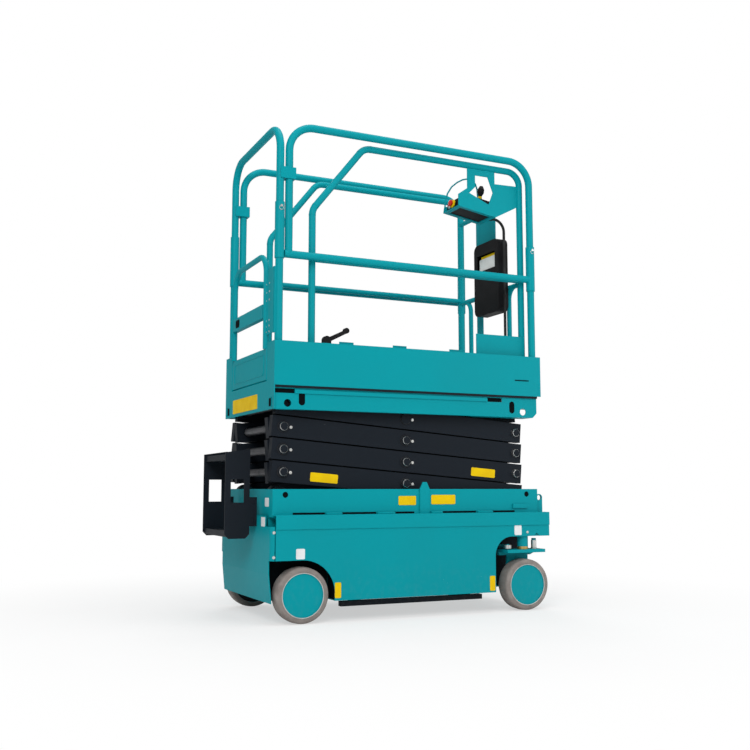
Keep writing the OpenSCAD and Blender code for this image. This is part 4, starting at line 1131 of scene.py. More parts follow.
    def _shaft(self, shop: Shop, stage: int, rear: Vector) -> None:
        """Sleeve with two collars on a rear cross shaft.

        Args:
            shop: maker of the pieces.
            stage: number of the outer pair that carries it.
            rear: middle of the shaft.
        """
        bm = bmesh.new()
        far = self.sleeve / MM_PER_M
        start, end = self.collar_taper
        half = [(self.sleeve_r, 0.0), (self.sleeve_r, far - start), (self.collar_r, far - end),
                (self.collar_r, far), (self.sleeve_bore, far)]
        section = [(r, -t) for r, t in reversed(half)] + half[1:] + [(self.sleeve_bore, -far)]
        add_turned(bm, rear, (0.0, 1.0, 0.0), section, PIN_SIDES)
        shop.put(f"shaft_sleeve_{stage}", bm, Look.SHAFT, f"outer_{stage}")

    def _cheeks(self, shop: Shop, pin: Vector) -> None:
        """Dark cheeks on the brackets of the lowest rear pins.

        Args:
            shop: maker of the pieces.
            pin: place of the pins on the machine's middle plane.
        """
        bm = bmesh.new()
        radius, bevel = self.cheek_r / MM_PER_M, self.cheek_bevel
        for side in Side:
            for low, high in self.cheeks:
                deep = (high - low) / MM_PER_M
                section = [(0.0, 0.0), (radius - bevel, 0.0), (radius, bevel), (radius, deep - bevel),
                           (radius - bevel, deep), (0.0, deep)]
                add_turned(bm, self._foot(pin, side, low), side.out, section, CHEEK_SIDES)
        shop.put("bracket_cheeks", bm, Look.CHARCOAL, "chassis")


@dataclass(frozen=True)
class PlateSpot:
    """A blank plate or near-black slot of painted shade: where it sits, which way it faces and how large it
    is.
    """

    name: str
    body: str
    middle: Triple
    facing: Triple
    wide: float
    tall: float
    look: Look
    lean: float = 0.0


@dataclass
class Plates:
    """Blank yellow and white plates where the machine carries its signs, and thin near-black slots and lines
    of painted shade.
    """

    spots: Sequence[PlateSpot]
    thick: float = 0.0012
    corner: float = 0.005
    corner_share: float = 0.25

    def build(self, shop: Shop) -> None:
        """Makes each plate.

        Args:
            shop: maker of the pieces.
        """
        for spot in self.spots:
            bm = bmesh.new()
            place = plane_at(spot.middle, spot.facing) @ Matrix.Rotation(spot.lean, 4, "Z")
            radius = min(self.corner, spot.wide * self.corner_share, spot.tall * self.corner_share)
            add_prism(bm, round_rect(spot.wide, spot.tall, radius), place, self.thick)
            shop.put(spot.name, bm, spot.look, spot.body)


@dataclass
class DeckTread:
    """Tread pattern of the platform deck, the roll-out deck and the ladder's steps, in metres."""

    size: TreadSize
    step: TreadSize
    inset: float = 0.012
    tray_floor: float = 0.010
    ladder_d: float = 0.112
    step_tops: Pair = (0.389, 0.723)

    def build(self, shop: Shop, tread: Tread) -> None:
        """Covers each walking surface.

        Args:
            shop: maker of the pieces.
            tread: maker of the pattern.
        """
        deck_low, deck_high = (Vector(v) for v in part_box("platform_deck"))
        roll_low, roll_high = (Vector(v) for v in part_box("extension_deck"))
        deck_end = Vector((roll_low.x, deck_high.y, 0.0))
        mesh = self._cover(shop, tread, deck_low, deck_end, deck_high.z, self.size, Look.CHARCOAL)
        shop.put("platform_tread", mesh, Look.CHARCOAL, "platform")
        floor = roll_low.z + self.tray_floor
        mesh = self._cover(shop, tread, roll_low, roll_high, floor, self.size, Look.TEAL)
        shop.put("roll_out_tread", mesh, Look.TEAL, "extension")
        ladder_low, ladder_high = (Vector(v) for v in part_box("ladder"))
        step_end = Vector((ladder_low.x + self.ladder_d, ladder_high.y, 0.0))
        for number, top in enumerate(self.step_tops, 1):
            mesh = self._cover(shop, tread, ladder_low, step_end, top, self.step, Look.CHARCOAL)
            shop.put(f"ladder_tread_{number}", mesh, Look.CHARCOAL, "chassis")

    def _cover(self, shop: Shop, tread: Tread, low: Vector, high: Vector, top: float, size: TreadSize,
               look: Look) -> bpy.types.Mesh:
        """Covers one rectangle, less a margin."""
        inset = Vector((self.inset, self.inset, 0.0))
        return tread.sheet(low + inset, high - inset, top, size, shop.finish[look])


@dataclass
class ChassisTrim:
    """Panel bolts, ladder bolts, and the tabs along the ledge of the chassis, with near-black strips between
    the tabs as painted shadow.
    """

    bolt: BoltSize
    panel_y: float = 376.0
    panel_bolts: Sequence[Pair] = ((573.0, 366.0),)
    corner: Pair = (-700.0, 373.8)
    corner_way: Pair = (-0.417, 0.909)
    corner_bolts: Sequence[float] = (387.0, 283.0)
    ladder_y: float = 180.0
    ladder_bolts: Sequence[Pair] = ((-731.0, 432.0), (-731.0, 512.0))
    tabs: Sequence[Pair] = ((-456.0, -380.0), (-208.0, -121.0), (65.0, 123.0), (312.0, 393.0))
    tab_y: Pair = (343.0, 362.0)
    tab_z: Pair = (459.0, 469.0)
    tab_round: float = 0.003
    # near-black strips on the rail's face between the tabs: painted shadow of the gaps under the ledge
    slots: Sequence[Pair] = ((-605.0, -456.0), (-380.0, -208.0), (-121.0, -16.0), (126.0, 310.0),
                             (396.0, 526.0))
    slot_y: Pair = (339.0, 340.9)
    slot_z: Pair = (460.0, 469.0)

    def build(self, shop: Shop, bolts: Bolts, datum: Datum) -> None:
        """Dresses the chassis.

        Args:
            shop: maker of the pieces.
            bolts: maker of the bolts.
            datum: places of the machine.
        """
        panel, ladder = [], []
        tabs, slots = bmesh.new(), bmesh.new()
        for side in Side:
            panel += [(datum.at(x, side.value * self.panel_y, z), side.out) for x, z in self.panel_bolts]
            ladder += [(datum.at(x, side.value * self.ladder_y, z), side.out) for x, z in self.ladder_bolts]
            way = (self.corner_way[0], side.value * self.corner_way[1], 0.0)
            corner_x, corner_y = self.corner
            panel += [(datum.at(corner_x, side.value * corner_y, z), way) for z in self.corner_bolts]
            for tab in self.tabs:
                datum.box(tabs, tab, side.span(*self.tab_y), self.tab_z, self.tab_round)
            for slot in self.slots:
                datum.box(slots, slot, side.span(*self.slot_y), self.slot_z)
        shop.put("ledge_tabs", tabs, Look.TEAL, "chassis")
        # painted shadow under the ledge
        shop.put("ledge_slots", slots, Look.SHADOW, "chassis")
        mesh = bolts.field(panel, self.bolt, shop.finish[Look.STEEL])
        shop.put("panel_bolts", mesh, Look.STEEL, "chassis")
        mesh = bolts.field(ladder, self.bolt, shop.finish[Look.CHARCOAL])
        shop.put("ladder_bolts", mesh, Look.CHARCOAL, "chassis")


@dataclass
class ChassisLinings:
    """Near-black sheets as painted shade behind the rear wheels and in the holes of the channels, and the box
    of the lower nose, whose charcoal walls are painted shade and whose front is teal.
    """

    plate_y: float = 286.0
    flange: float = 55.0
    flange_steps: int = 24
    along: Pair = (-127.0, 146.0)
    rise: Pair = (97.0, 300.0)
    bulkhead_x: float = -420.0
    bulkhead_y: Pair = (288.0, 371.0)
    sheet: float = 1.2
    holes: Sequence[float] = (-639.0, 596.0)
    hole_y: float = 336.0
    hole_z: float = 546.0
    plug_r: float = 12.8
    plug_deep: float = 2.2
    dish_shares: Pair = (0.8, 0.6)
    nose_x: Pair = (393.5, 686.0)
    floor_x: float = 622.0
    floor_z: float = 97.0
    nose_y: float = 184.0
    nose_z: Pair = (102.5, 347.5)
    slot_x: Pair = (464.0, 545.0)
    slot_z: Pair = (280.0, 315.0)
    wall: float = 4.0
    fold_long: float = 26.0
    fold_out: float = 1.6
    fold_lap: float = 1.0
    front_round: float = 0.001

    def build(self, shop: Shop, datum: Datum) -> None:
        """Makes the painted-shade sheets and the lower nose.

        Args:
            shop: maker of the pieces.
            datum: places of the machine.
        """
        arches, hole_shades, walls = bmesh.new(), bmesh.new(), bmesh.new()
        for side in Side:
            self._arch(arches, datum, side)
            self._plugs(hole_shades, datum, side)
            self._nose_wall(walls, datum, side)
        across, end = (-self.nose_y, self.nose_y), self.nose_x[1]
        datum.box(walls, (self.floor_x, end), across, (self.floor_z, self.floor_z + self.wall))
        front = bmesh.new()
        datum.box(front, (end - self.wall, end), across, self.nose_z, self.front_round)
        for side in Side:
            folded = side.span(self.nose_y - self.fold_lap, self.nose_y + self.fold_out)
            datum.box(front, (end - self.fold_long, end), folded, self.nose_z, self.front_round)
        # near-black sheets and discs: painted shade behind the rear wheels and in the channel holes
        shop.put("arch_linings", arches, Look.SHADOW, "chassis")
        shop.put("channel_plugs", hole_shades, Look.SHADOW, "chassis")
        # charcoal walls and floor: painted shade in place of the shaded inside of the nose
        shop.put("lower_nose_walls", walls, Look.CHARCOAL, "chassis")
        shop.put("lower_nose_front", front, Look.TEAL, "chassis")

    def _arch(self, bm: bmesh.types.BMesh, datum: Datum, side: Side) -> None:
        """Painted shade: near-black sheet behind one rear wheel, and the bulkhead ahead of it.

        Args:
            bm: mesh to add to.
            datum: places of the machine.
            side: side of the wheel.
        """
        axle = middle_of(f"tyre_rear_{side.word}")
        place = Vector((axle.x, side.value * self.plate_y / MM_PER_M, axle.z))
        matrix = Matrix.Translation(place) @ Matrix.Rotation(QUARTER_TURN, 4, "X")
        add_prism(bm, self._arch_outline(axle.z * MM_PER_M), matrix, -side.value * self.sheet / MM_PER_M)
        span = (self.bulkhead_x - self.sheet, self.bulkhead_x)
        datum.box(bm, span, side.span(*self.bulkhead_y), self.rise)

    def _arch_outline(self, axle_z: float) -> list[Pair]:
        """Outline of the sheet behind a rear wheel, open round the axle's flange.

        Args:
            axle_z: height of the axle in millimetres.

        Returns:
            Points about the axle, in metres.
        """
        low, high = (z - axle_z for z in self.rise)
        rear, front = self.along
        near = math.sqrt(self.flange ** 2 - low ** 2)
        points = [(near, low), (front, low), (front, high), (rear, high), (rear, low), (-near, low)]
        dip = math.asin(low / self.flange)
        steps = self.flange_steps
        turn = [math.pi - dip - (math.pi - 2 * dip) * k / steps for k in range(1, steps)]
        points += [(self.flange * math.cos(a), self.flange * math.sin(a)) for a in turn]
        return [(x / MM_PER_M, z / MM_PER_M) for x, z in points]

    def _plugs(self, bm: bmesh.types.BMesh, datum: Datum, side: Side) -> None:
        """Dished near-black discs in the holes of one channel: painted shade behind the holes.

        Args:
            bm: mesh to add to.
            datum: places of the machine.
            side: side of the channel.
        """
        radius, deep = self.plug_r / MM_PER_M, self.plug_deep / MM_PER_M
        dish_r, dish = radius * self.dish_shares[0], deep * self.dish_shares[1]
        # near-black disc: painted shade seen through the hole
        section = [(0.0, 0.0), (radius, 0.0), (radius, deep), (dish_r, dish), (0.0, dish)]
        for x in self.holes:
            place = datum.at(x, side.value * self.hole_y, self.hole_z)
            add_turned(bm, place, side.out, section, PLUG_SIDES)

    def _nose_wall(self, bm: bmesh.types.BMesh, datum: Datum, side: Side) -> None:
        """One charcoal wall of the lower nose, painted shade, with the opening that the tie rod passes
        through.

        Args:
            bm: mesh to add to.
            datum: places of the machine.
            side: side of the wall.
        """
        across = side.span(self.nose_y, self.nose_y - self.wall)
        (x0, x1), (z0, z1) = self.nose_x, self.nose_z
        (s0, s1), (t0, t1) = self.slot_x, self.slot_z
        for x, z in (((x0, x1), (z0, t0)), ((x0, x1), (t1, z1)), ((x0, s0), (t0, t1)), ((s1, x1), (t0, t1))):
            datum.box(bm, x, across, z)


@dataclass
class SteeringTrim:
    """Bright sleeves on the pins that stop the steering; places in millimetres, sections in metres."""

    pin: Pair = (632.0, 340.0)
    rise: Pair = (285.0, 326.0)
    bore: float = 0.0111
    foot_r: float = 0.0150
    foot_taper: Pair = (0.004, 0.006)
    sleeve_r: float = 0.0130
    top_r: float = 0.0122
    bevel: float = 0.001

    def build(self, shop: Shop, datum: Datum) -> None:
        """Makes one sleeve on each knuckle.

        Args:
            shop: maker of the pieces.
            datum: places of the machine.
        """
        tall = (self.rise[1] - self.rise[0]) / MM_PER_M
        start, end = self.foot_taper
        section = [(self.bore, 0.0), (self.foot_r, 0.0), (self.foot_r, start), (self.sleeve_r, end),
                   (self.sleeve_r, tall - self.bevel), (self.top_r, tall), (self.bore, tall),
                   (self.bore, 0.0)]
        for side in Side:
            bm = bmesh.new()
            base = datum.at(self.pin[0], side.value * self.pin[1], self.rise[0])
            add_turned(bm, base, (0.0, 0.0, 1.0), section, PLUG_SIDES)
            shop.put(f"stop_sleeve_{side.word}", bm, Look.STEEL, f"knuckle_{side.word}")


@dataclass
class PlatformTrim:
    """Hinge rivets, lock pins of the folding rails, and near-black sheets behind the frame's notches and
    slots as painted shade.

    Places are in millimetres; the lock pins, corners and thicknesses are in metres.
    """

    rivet: BoltSize
    hinge_x: float = -705.0
    hinge_y: float = -288.0
    rivet_rows: Sequence[float] = (1262.0, 1287.0, 1312.0, 1404.0, 1441.0, 1478.0)
    pin_spots: Sequence[Triple] = ((-679.5, 362.0, 1815.0), (641.0, 362.0, 1752.0))
    pin: Profile = ((0.0, -0.006), (0.0032, -0.006), (0.0032, 0.001), (0.0056, 0.0014), (0.0060, 0.003),
                    (0.0056, 0.0046), (0.0, 0.005))
    pull_r: float = 0.009
    pull_out: float = 0.0015
    pull_wire: float = 0.0011
    pull_steps: int = 24
    pull_sides: int = 6
    lining_y: float = 351.0
    linings: Sequence[Pair] = ((-698.0, -609.0), (372.0, 452.0))
    lining_z: Pair = (986.0, 1004.0)
    lining_corner: float = 0.004
    lining_thick: float = 0.0015
    slots: Sequence[float] = (-573.0, 509.9)
    slot_z: float = 962.0
    slot_size: Pair = (29.6, 57.6)
    slot_slack: float = 0.0001
    web_y: float = 356.0
    web_gap: float = 1.2

    def build(self, shop: Shop, bolts: Bolts, datum: Datum) -> None:
        """Dresses the platform.

        Args:
            shop: maker of the pieces.
            bolts: maker of the rivets.
            datum: places of the machine.
        """
        mesh = bolts.field(self.column(datum, self.hinge_y), self.rivet, shop.finish[Look.STEEL])
        shop.put("hinge_rivets", mesh, Look.STEEL, "platform")
        bm = bmesh.new()
        for x, y, z in self.pin_spots:
            for side in Side:
                self._lock_pin(bm, datum.at(x, side.value * y, z), side)
        shop.put("rail_lock_pins", bm, Look.STEEL, "platform")
        bm = bmesh.new()
        tall = (self.lining_z[1] - self.lining_z[0]) / MM_PER_M
        for low, high in self.linings:
            outline = round_rect((high - low) / MM_PER_M, tall, self.lining_corner)
            for side in Side:
                middle = datum.at((low + high) / 2, side.value * self.lining_y, sum(self.lining_z) / 2)
                self._lining(bm, middle, outline, side)
        wide, tall = (v / MM_PER_M for v in self.slot_size)
        outline = round_rect(wide, tall, wide / 2 - self.slot_slack)
        for x in self.slots:
            for side in Side:
                middle = datum.at(x, side.value * (self.web_y - self.web_gap), self.slot_z)
                self._lining(bm, middle, outline, side)
        # painted shade in the notches and slots
        shop.put("notch_linings", bm, Look.SHADOW, "platform")

    def column(self, datum: Datum, y: float) -> list[tuple[Vector, Triple]]:
        """Rivet places along the hinge at one distance from the middle."""
        return [(datum.at(self.hinge_x, y, z), BACKWARD) for z in self.rivet_rows]

    def _lining(self, bm: bmesh.types.BMesh, middle: Vector, outline: Profile, side: Side) -> None:
        """Adds one near-black sheet of painted shade to a side of the frame."""
        matrix = Matrix.Translation(middle) @ Matrix.Rotation(QUARTER_TURN, 4, "X")
        add_prism(bm, outline, matrix, side.value * self.lining_thick)

    def _lock_pin(self, bm: bmesh.types.BMesh, place: Vector, side: Side) -> None:
        """A headed pin with a hanging pull ring.

        Args:
            bm: mesh to add to.
            place: where the pin enters the rail.
            side: side that it looks to.
        """
        add_turned(bm, place, side.out, self.pin, SMALL_SIDES)
        middle = place + Vector((0.0, side.value * self.pull_out, -self.pull_r))
        turns = [math.tau * k / self.pull_steps for k in range(self.pull_steps + 1)]
        ring = [middle + self.pull_r * Vector((math.sin(turn), 0.0, math.cos(turn))) for turn in turns]
        add_tube(bm, ring, self.pull_wire, self.pull_sides)


@dataclass
class GateTrim:
    """Pressed outline of the gate's panel, near-black slot of its bar as painted shade, and rivets of its
    hinge leaf.

    Places are in millimetres; the slot's corner and depth are in metres.
    """

    rivet: BoltSize
    face_x: float = -705.0
    outline: Pair = (440.0, 92.0)
    outline_z: float = 1120.0
    outline_corner: float = 22.0
    outline_steps: int = 8
    bead: float = 2.2
    bead_sides: int = 10
    bar_x: float = -716.0
    slot: Pair = (60.0, 38.0)
    slot_y: float = 150.0
    slot_z: float = 1361.0
    slot_corner: float = 0.010
    slot_thick: float = 0.0008
    leaf_y: float = -250.0

    def build(self, shop: Shop, bolts: Bolts, datum: Datum, platform: PlatformTrim) -> None:
        """Dresses the gate.

        Args:
            shop: maker of the pieces.
            bolts: maker of the rivets.
            datum: places of the machine.
            platform: trim whose rivets the leaf's line up with.
        """
        bm = bmesh.new()
        loop = round_rect(*self.outline, self.outline_corner, self.outline_steps)
        points = [datum.at(self.face_x, y, self.outline_z + z) for y, z in loop + loop[:2]]
        add_tube(bm, points, self.bead / MM_PER_M, self.bead_sides)
        shop.put("gate_pressing", bm, Look.TEAL, "gate")
        # near-black plate: painted shade in the bar's slot
        bm = bmesh.new()
        wide, tall = (v / MM_PER_M for v in self.slot)
        face = plane_at(datum.at(self.bar_x, self.slot_y, self.slot_z), BACKWARD)
        add_prism(bm, round_rect(wide, tall, self.slot_corner), face, self.slot_thick)
        shop.put("gate_bar_slot", bm, Look.SHADOW, "gate")
        mesh = bolts.field(platform.column(datum, self.leaf_y), self.rivet, shop.finish[Look.STEEL])
        shop.put("gate_leaf_rivets", mesh, Look.STEEL, "gate")


@dataclass
class Console:
    """Stop button, key switch, display, buttons, guard rod, lever boot and band of the control box.

    Places are in millimetres in the tilted tray's own directions, sections of fittings in metres.
    """

    bolt: BoltSize
    tray: Triple = (257.0, 0.0, 1950.0)
    tilt: float = math.radians(9.3)
    rear: float = 14.0
    top: float = 74.0
    stop: Pair = (-225.0, 31.0)
    stop_base: Profile = ((0.0, -0.001), (0.019, -0.001), (0.019, 0.006), (0.017, 0.008), (0.0, 0.008))
    stop_collar: Profile = ((0.0, 0.007), (0.021, 0.007), (0.021, 0.012), (0.019, 0.014), (0.0, 0.014))
    stop_button: Profile = ((0.0, 0.013), (0.009, 0.013), (0.009, 0.0185), (0.0165, 0.021), (0.0175, 0.024),
                            (0.0165, 0.027), (0.012, 0.029), (0.0, 0.0298))
    key: Pair = (-180.0, 31.0)
    key_switch: Profile = ((0.0, -0.001), (0.012, -0.001), (0.012, 0.002), (0.0105, 0.0035), (0.0055, 0.0035),
                           (0.0050, 0.0020), (0.0, 0.0020))
    buttons: Sequence[Pair] = ((84.0, -276.0), (84.0, -254.0), (84.0, -191.0), (84.0, -169.0),
                               (110.0, -276.0), (110.0, -169.0))
    button: Profile = ((0.0, -0.001), (0.0085, -0.001), (0.0085, 0.0016), (0.0072, 0.0026), (0.0064, 0.0026),
                       (0.0062, 0.0050), (0.0050, 0.0060), (0.0, 0.0062))
    lever: Pair = (153.8, -222.5)
    lever_lift: float = 0.3
    lever_band: Profile = ((0.0092, 0.018), (0.0104, 0.0185), (0.0108, 0.024), (0.0108, 0.032),
                           (0.0104, 0.0375), (0.0092, 0.038))
    lever_boot: Profile = ((0.0090, -0.001), (0.034, -0.001), (0.034, 0.003), (0.029, 0.004),
                           (0.0305, 0.0065), (0.024, 0.008), (0.0255, 0.0105), (0.019, 0.012),
                           (0.0205, 0.0145), (0.0135, 0.017), (0.0090, 0.018), (0.0090, -0.001))
    slope: Pair = (46.0, 18.0)
    display_at: Triple = (37.0, -222.5, 65.0)
    display: Triple = (0.072, 0.032, 0.004)
    display_thick: float = 0.0016
    guard_y: float = -147.0
    guard_r: float = 0.004
    guard: Profile = ((266.0, 1978.0), (269.0, 2015.0), (282.0, 2056.0), (306.0, 2094.0), (338.0, 2121.0),
                      (370.0, 2140.0), (400.0, 2149.0), (426.0, 2146.0), (446.0, 2128.0), (456.0, 2100.0),
                      (459.0, 2060.0), (461.0, 1946.0))
    screws: Sequence[Triple] = ((26.0, -285.0, 60.9), (26.0, -160.0, 60.9), (192.0, -285.0, 74.0),
                                (192.0, -160.0, 74.0))

    def spot(self, datum: Datum, along: float, y: float, up: float) -> Vector:
        """A place given in the tray's own directions."""
        cos, sin = math.cos(self.tilt), math.sin(self.tilt)
        return datum.at(self.tray[0] + along * cos + up * sin, y, self.tray[2] - along * sin + up * cos)

    def way(self, along: float, up: float) -> Vector:
        """A direction given in the tray's own directions."""
        cos, sin = math.cos(self.tilt), math.sin(self.tilt)
        return Vector((along * cos + up * sin, 0.0, up * cos - along * sin))

    def build(self, shop: Shop, bolts: Bolts, datum: Datum) -> None:
        """Dresses the control box.

        Args:
            shop: maker of the pieces.
            bolts: maker of the screws.
            datum: places of the machine.
        """
        back, upward = self.way(-1.0, 0.0), self.way(0.0, 1.0)
        stop = self.spot(datum, self.rear, *self.stop)
        self._turned(shop, "stop_base", stop, back, Look.BLACK, self.stop_base)
        self._turned(shop, "stop_collar", stop, back, Look.YELLOW, self.stop_collar)
        self._turned(shop, "stop_button", stop, back, Look.RED, self.stop_button)
        key = self.spot(datum, self.rear, *self.key)
        self._turned(shop, "key_switch", key, back, Look.STEEL, self.key_switch)
        bm = bmesh.new()
        for along, y in self.buttons:
            add_turned(bm, self.spot(datum, along, y, self.top), upward, self.button, SMALL_SIDES)
        shop.put("console_buttons", bm, Look.WHITE, "extension")
        foot = self.spot(datum, *self.lever, self.top + self.lever_lift)
        self._turned(shop, "lever_band", foot, upward, Look.YELLOW, self.lever_band)
        self._turned(shop, "lever_boot", foot, upward, Look.BLACK, self.lever_boot)
        self._display(shop, datum)
        bm = bmesh.new()
        add_tube(bm, [datum.at(x, self.guard_y, z) for x, z in self.guard], self.guard_r)
        shop.put("console_guard", bm, Look.TEAL, "extension")
        places = [(self.spot(datum, *screw), upward) for screw in self.screws]
        mesh = bolts.field(places, self.bolt, shop.finish[Look.STEEL])
        shop.put("console_screws", mesh, Look.STEEL, "extension")

    def _turned(self, shop: Shop, name: str, place: Vector, axis: Vector, look: Look,
                section: Profile) -> None:
        """Adds one turned fitting.

        Args:
            shop: maker of the pieces.
            name: name of the fitting.
            place: point where its section starts.
            axis: turning axis.
            look: its finish.
            section: (radius, length) pairs.
        """
        bm = bmesh.new()
        add_turned(bm, place, axis, section, PIN_SIDES)
        shop.put(name, bm, look, "extension")

    def _display(self, shop: Shop, datum: Datum) -> None:
        """Adds a dark display on the sloped face.

        Args:
            shop: maker of the pieces.
            datum: places of the machine.
        """
        slope = self.way(*self.slope).normalized()
        across = Vector((0.0, -1.0, 0.0))
        turn = Matrix((across, slope, across.cross(slope))).transposed().to_4x4()
        place = Matrix.Translation(self.spot(datum, *self.display_at)) @ turn
        bm = bmesh.new()
        add_prism(bm, round_rect(*self.display), place, self.display_thick)
        shop.put("console_display", bm, Look.SHADOW, "extension")


@dataclass(frozen=True)
class Sheet:
    """A paper in the document box: its place along the machine, its reach across and upwards, its finish."""

    x: float
    across: Pair
    rise: Pair
    look: Look


@dataclass
class Papers:
    """Manual and loose sheets in the document box, in millimetres."""

    sheets: Sequence[Sheet] = (
        Sheet(551.0, (-166.0, -8.0), (1508.0, 1766.0), Look.PAPER),
        Sheet(556.0, (-160.0, -16.0), (1508.0, 1781.0), Look.YELLOW),
        Sheet(562.0, (-172.0, -4.0), (1508.0, 1752.0), Look.WHITE),
    )
    thick: float = 2.4
    corner: float = 4.0

    def build(self, shop: Shop, datum: Datum) -> None:
        """Stands the papers in the box.

        Args:
            shop: maker of the pieces.
            datum: places of the machine.
        """
        for number, sheet in enumerate(self.sheets, 1):
            bm = bmesh.new()
            (y0, y1), (z0, z1) = sheet.across, sheet.rise
            place = plane_at(datum.at(sheet.x, (y0 + y1) / 2, (z0 + z1) / 2), FORWARD)
            outline = round_rect((y1 - y0) / MM_PER_M, (z1 - z0) / MM_PER_M, self.corner / MM_PER_M)
            add_prism(bm, outline, place, self.thick / MM_PER_M)
            shop.put(f"paper_{number}", bm, sheet.look, "extension")


@dataclass
class ControlCable:
    """Cable from the control box down to the roll-out deck, with its two glands.

    The route is in millimetres and the section of a gland in metres.
    """

    start: Triple = (475.0, -215.0, 1932.0)
    turn_x: float = 570.0
    bend: float = 60.0
    foot_z: float = 1029.6
    radius: float = 7.0
    sides: int = 16
    run_steps: int = 4
    bend_steps: int = 10
    drop_steps: int = 16
    gland: Profile = ((0.0, -0.006), (0.013, -0.006), (0.013, 0.004), (0.0105, 0.007), (0.0095, 0.022),
                      (0.0076, 0.030), (0.0, 0.030))
    foot_lift: float = 0.006

    def route(self, datum: Datum) -> list[Vector]:
        """Middle line of the cable: a level run, a bend and a drop.

        Args:
            datum: places of the machine.

        Returns:
            Its points, from the control box to the deck.
        """
        x, y, z = self.start
        run = self.turn_x - self.bend - x
        points = [(x + run * k / self.run_steps, z) for k in range(self.run_steps + 1)]
        for k in range(1, self.bend_steps + 1):
            angle = QUARTER_TURN * k / self.bend_steps
            points.append((self.turn_x - self.bend * (1 - math.sin(angle)),
                           z - self.bend * (1 - math.cos(angle))))
        drop = z - self.bend - self.foot_z
        steps = self.drop_steps
        points += [(self.turn_x, z - self.bend - drop * k / steps) for k in range(1, steps + 1)]
        return [datum.at(px, y, pz) for px, pz in points]

    def build(self, shop: Shop, datum: Datum) -> None:
        """Args:
            shop: maker of the pieces.
            datum: places of the machine.
        """
        path = self.route(datum)
        bm = bmesh.new()
        add_tube(bm, path, self.radius / MM_PER_M, self.sides)
        cable = shop.put("control_lead", bm, Look.CABLE, "extension", ("control_cable",))
        bm = bmesh.new()
        add_turned(bm, path[0], FORWARD, self.gland, SMALL_SIDES)
        raised = [(r, t + self.foot_lift) for r, t in self.gland]
        add_turned(bm, path[-1], (0.0, 0.0, 1.0), raised, SMALL_SIDES)
        glands = shop.put("lead_glands", bm, Look.BLACK, "extension")


def plate_spots(datum: Datum) -> list[PlateSpot]:
    """Blank plates, and near-black slots and lines of painted shade, of the machine.

    Args:
        datum: places of the machine.

    Returns:
        The plates; the rows give their places and sizes in millimetres.
    """
    right, left = tuple(Side.RIGHT.out), tuple(Side.LEFT.out)
    lean = -math.asin(STAGE_HEIGHT / ARM_LENGTH)
    rows = (
        ("rail_plate_rear", "chassis", (-51.5, -340.0, 518.5), right, 89.0, 41.0, Look.YELLOW, 0.0),
        ("rail_plate_front", "chassis", (136.0, -340.0, 522.0), right, 127.0, 43.0, Look.YELLOW, 0.0),
        ("panel_plate_front", "chassis", (520.0, -376.0, 376.0), right, 40.0, 46.0, Look.WHITE, 0.0),
        ("panel_plate_rear", "chassis", (-581.0, -376.0, 295.0), right, 40.0, 44.0, Look.WHITE, 0.0),
        ("skirt_plate_rear", "chassis", (-407.0, -376.0, 136.0), right, 29.0, 66.0, Look.YELLOW, 0.0),
        ("skirt_plate_front", "chassis", (375.0, -376.0, 134.0), right, 29.0, 68.0, Look.YELLOW, 0.0),
        ("arm_plate_low", "outer_1", (-445.0, -302.0, 619.0), right, 132.0, 40.0, Look.YELLOW, lean),
        ("arm_plate_high", "outer_2", (375.5, -302.0, 648.0), right, 132.0, 40.0, Look.YELLOW, lean),
        ("end_plate", "platform", (-705.0, 51.0, 963.0), BACKWARD, 376.0, 66.0, Look.YELLOW, 0.0),
        # near-black slots: painted shade in the slots of the rear end
        ("end_slot_right", "platform", (-705.0, -313.0, 946.0), BACKWARD, 26.0, 36.0, Look.SHADOW, 0.0),
        ("end_slot_left", "platform", (-705.0, 313.0, 946.0), BACKWARD, 26.0, 36.0, Look.SHADOW, 0.0),
        # near-black thin lines: painted shadow line on each side panel
        ("side_slot_right", "platform", (563.0, -366.0, 1094.0), right, 80.0, 5.0, Look.SHADOW, 0.0),
        ("side_slot_left", "platform", (563.0, 366.0, 1094.0), left, 80.0, 5.0, Look.SHADOW, 0.0),
        ("rear_plate_high", "chassis", (-697.0, -267.0, 514.0), BACKWARD, 50.0, 38.0, Look.WHITE, 0.0),
        ("rear_plate_low", "chassis", (-714.0, -269.0, 430.0), BACKWARD, 50.0, 40.0, Look.WHITE, 0.0),
    )
    return [PlateSpot(name, body, tuple(datum.at(*place)), facing, wide / MM_PER_M, tall / MM_PER_M, look,
                      turn) for name, body, place, facing, wide, tall, look, turn in rows]


# Studio


def add_to_scene(name: str, data: bpy.types.ID) -> bpy.types.Object:
    """Makes an object and links it to the scene.

    Args:
        name: name of the object.
        data: what it shows.

    Returns:
        The new object.
    """
    thing = bpy.data.objects.new(name, data)
    bpy.context.scene.collection.objects.link(thing)
    return thing


def aimed(place: Sequence[float], ahead: Vector) -> Matrix:
    """Matrix of a camera or lamp that stands at a place and looks along a direction."""
    return Matrix.Translation(place) @ ahead.to_track_quat("-Z", "Y").to_matrix().to_4x4()


@dataclass(frozen=True)
class Lamp:
    """A soft square lamp: where it hangs, where it points, its side in metres and its power in watts."""

    name: str
    place: Triple
    target: Triple
    size: float
    watts: float

    def build(self) -> None:
        """Hangs the lamp."""
        data = bpy.data.lights.new(self.name, "AREA")
        data.size = self.size
        data.energy = self.watts
        lamp = add_to_scene(self.name, data)
        lamp.matrix_world = aimed(self.place, Vector(self.target) - Vector(self.place))


LAMPS = (
    Lamp("key", (-3.6, -5.2, 4.6), (0.0, 0.0, 1.0), size=3.2, watts=230.0),
    Lamp("fill", (4.6, -4.2, 3.0), (0.0, 0.0, 1.0), size=3.6, watts=90.0),
    Lamp("back", (1.8, 5.4, 4.2), (0.0, 0.0, 1.2), size=3.4, watts=110.0),
    Lamp("top", (0.4, -0.6, 6.4), (0.0, 0.0, 1.0), size=3.6, watts=130.0),
)


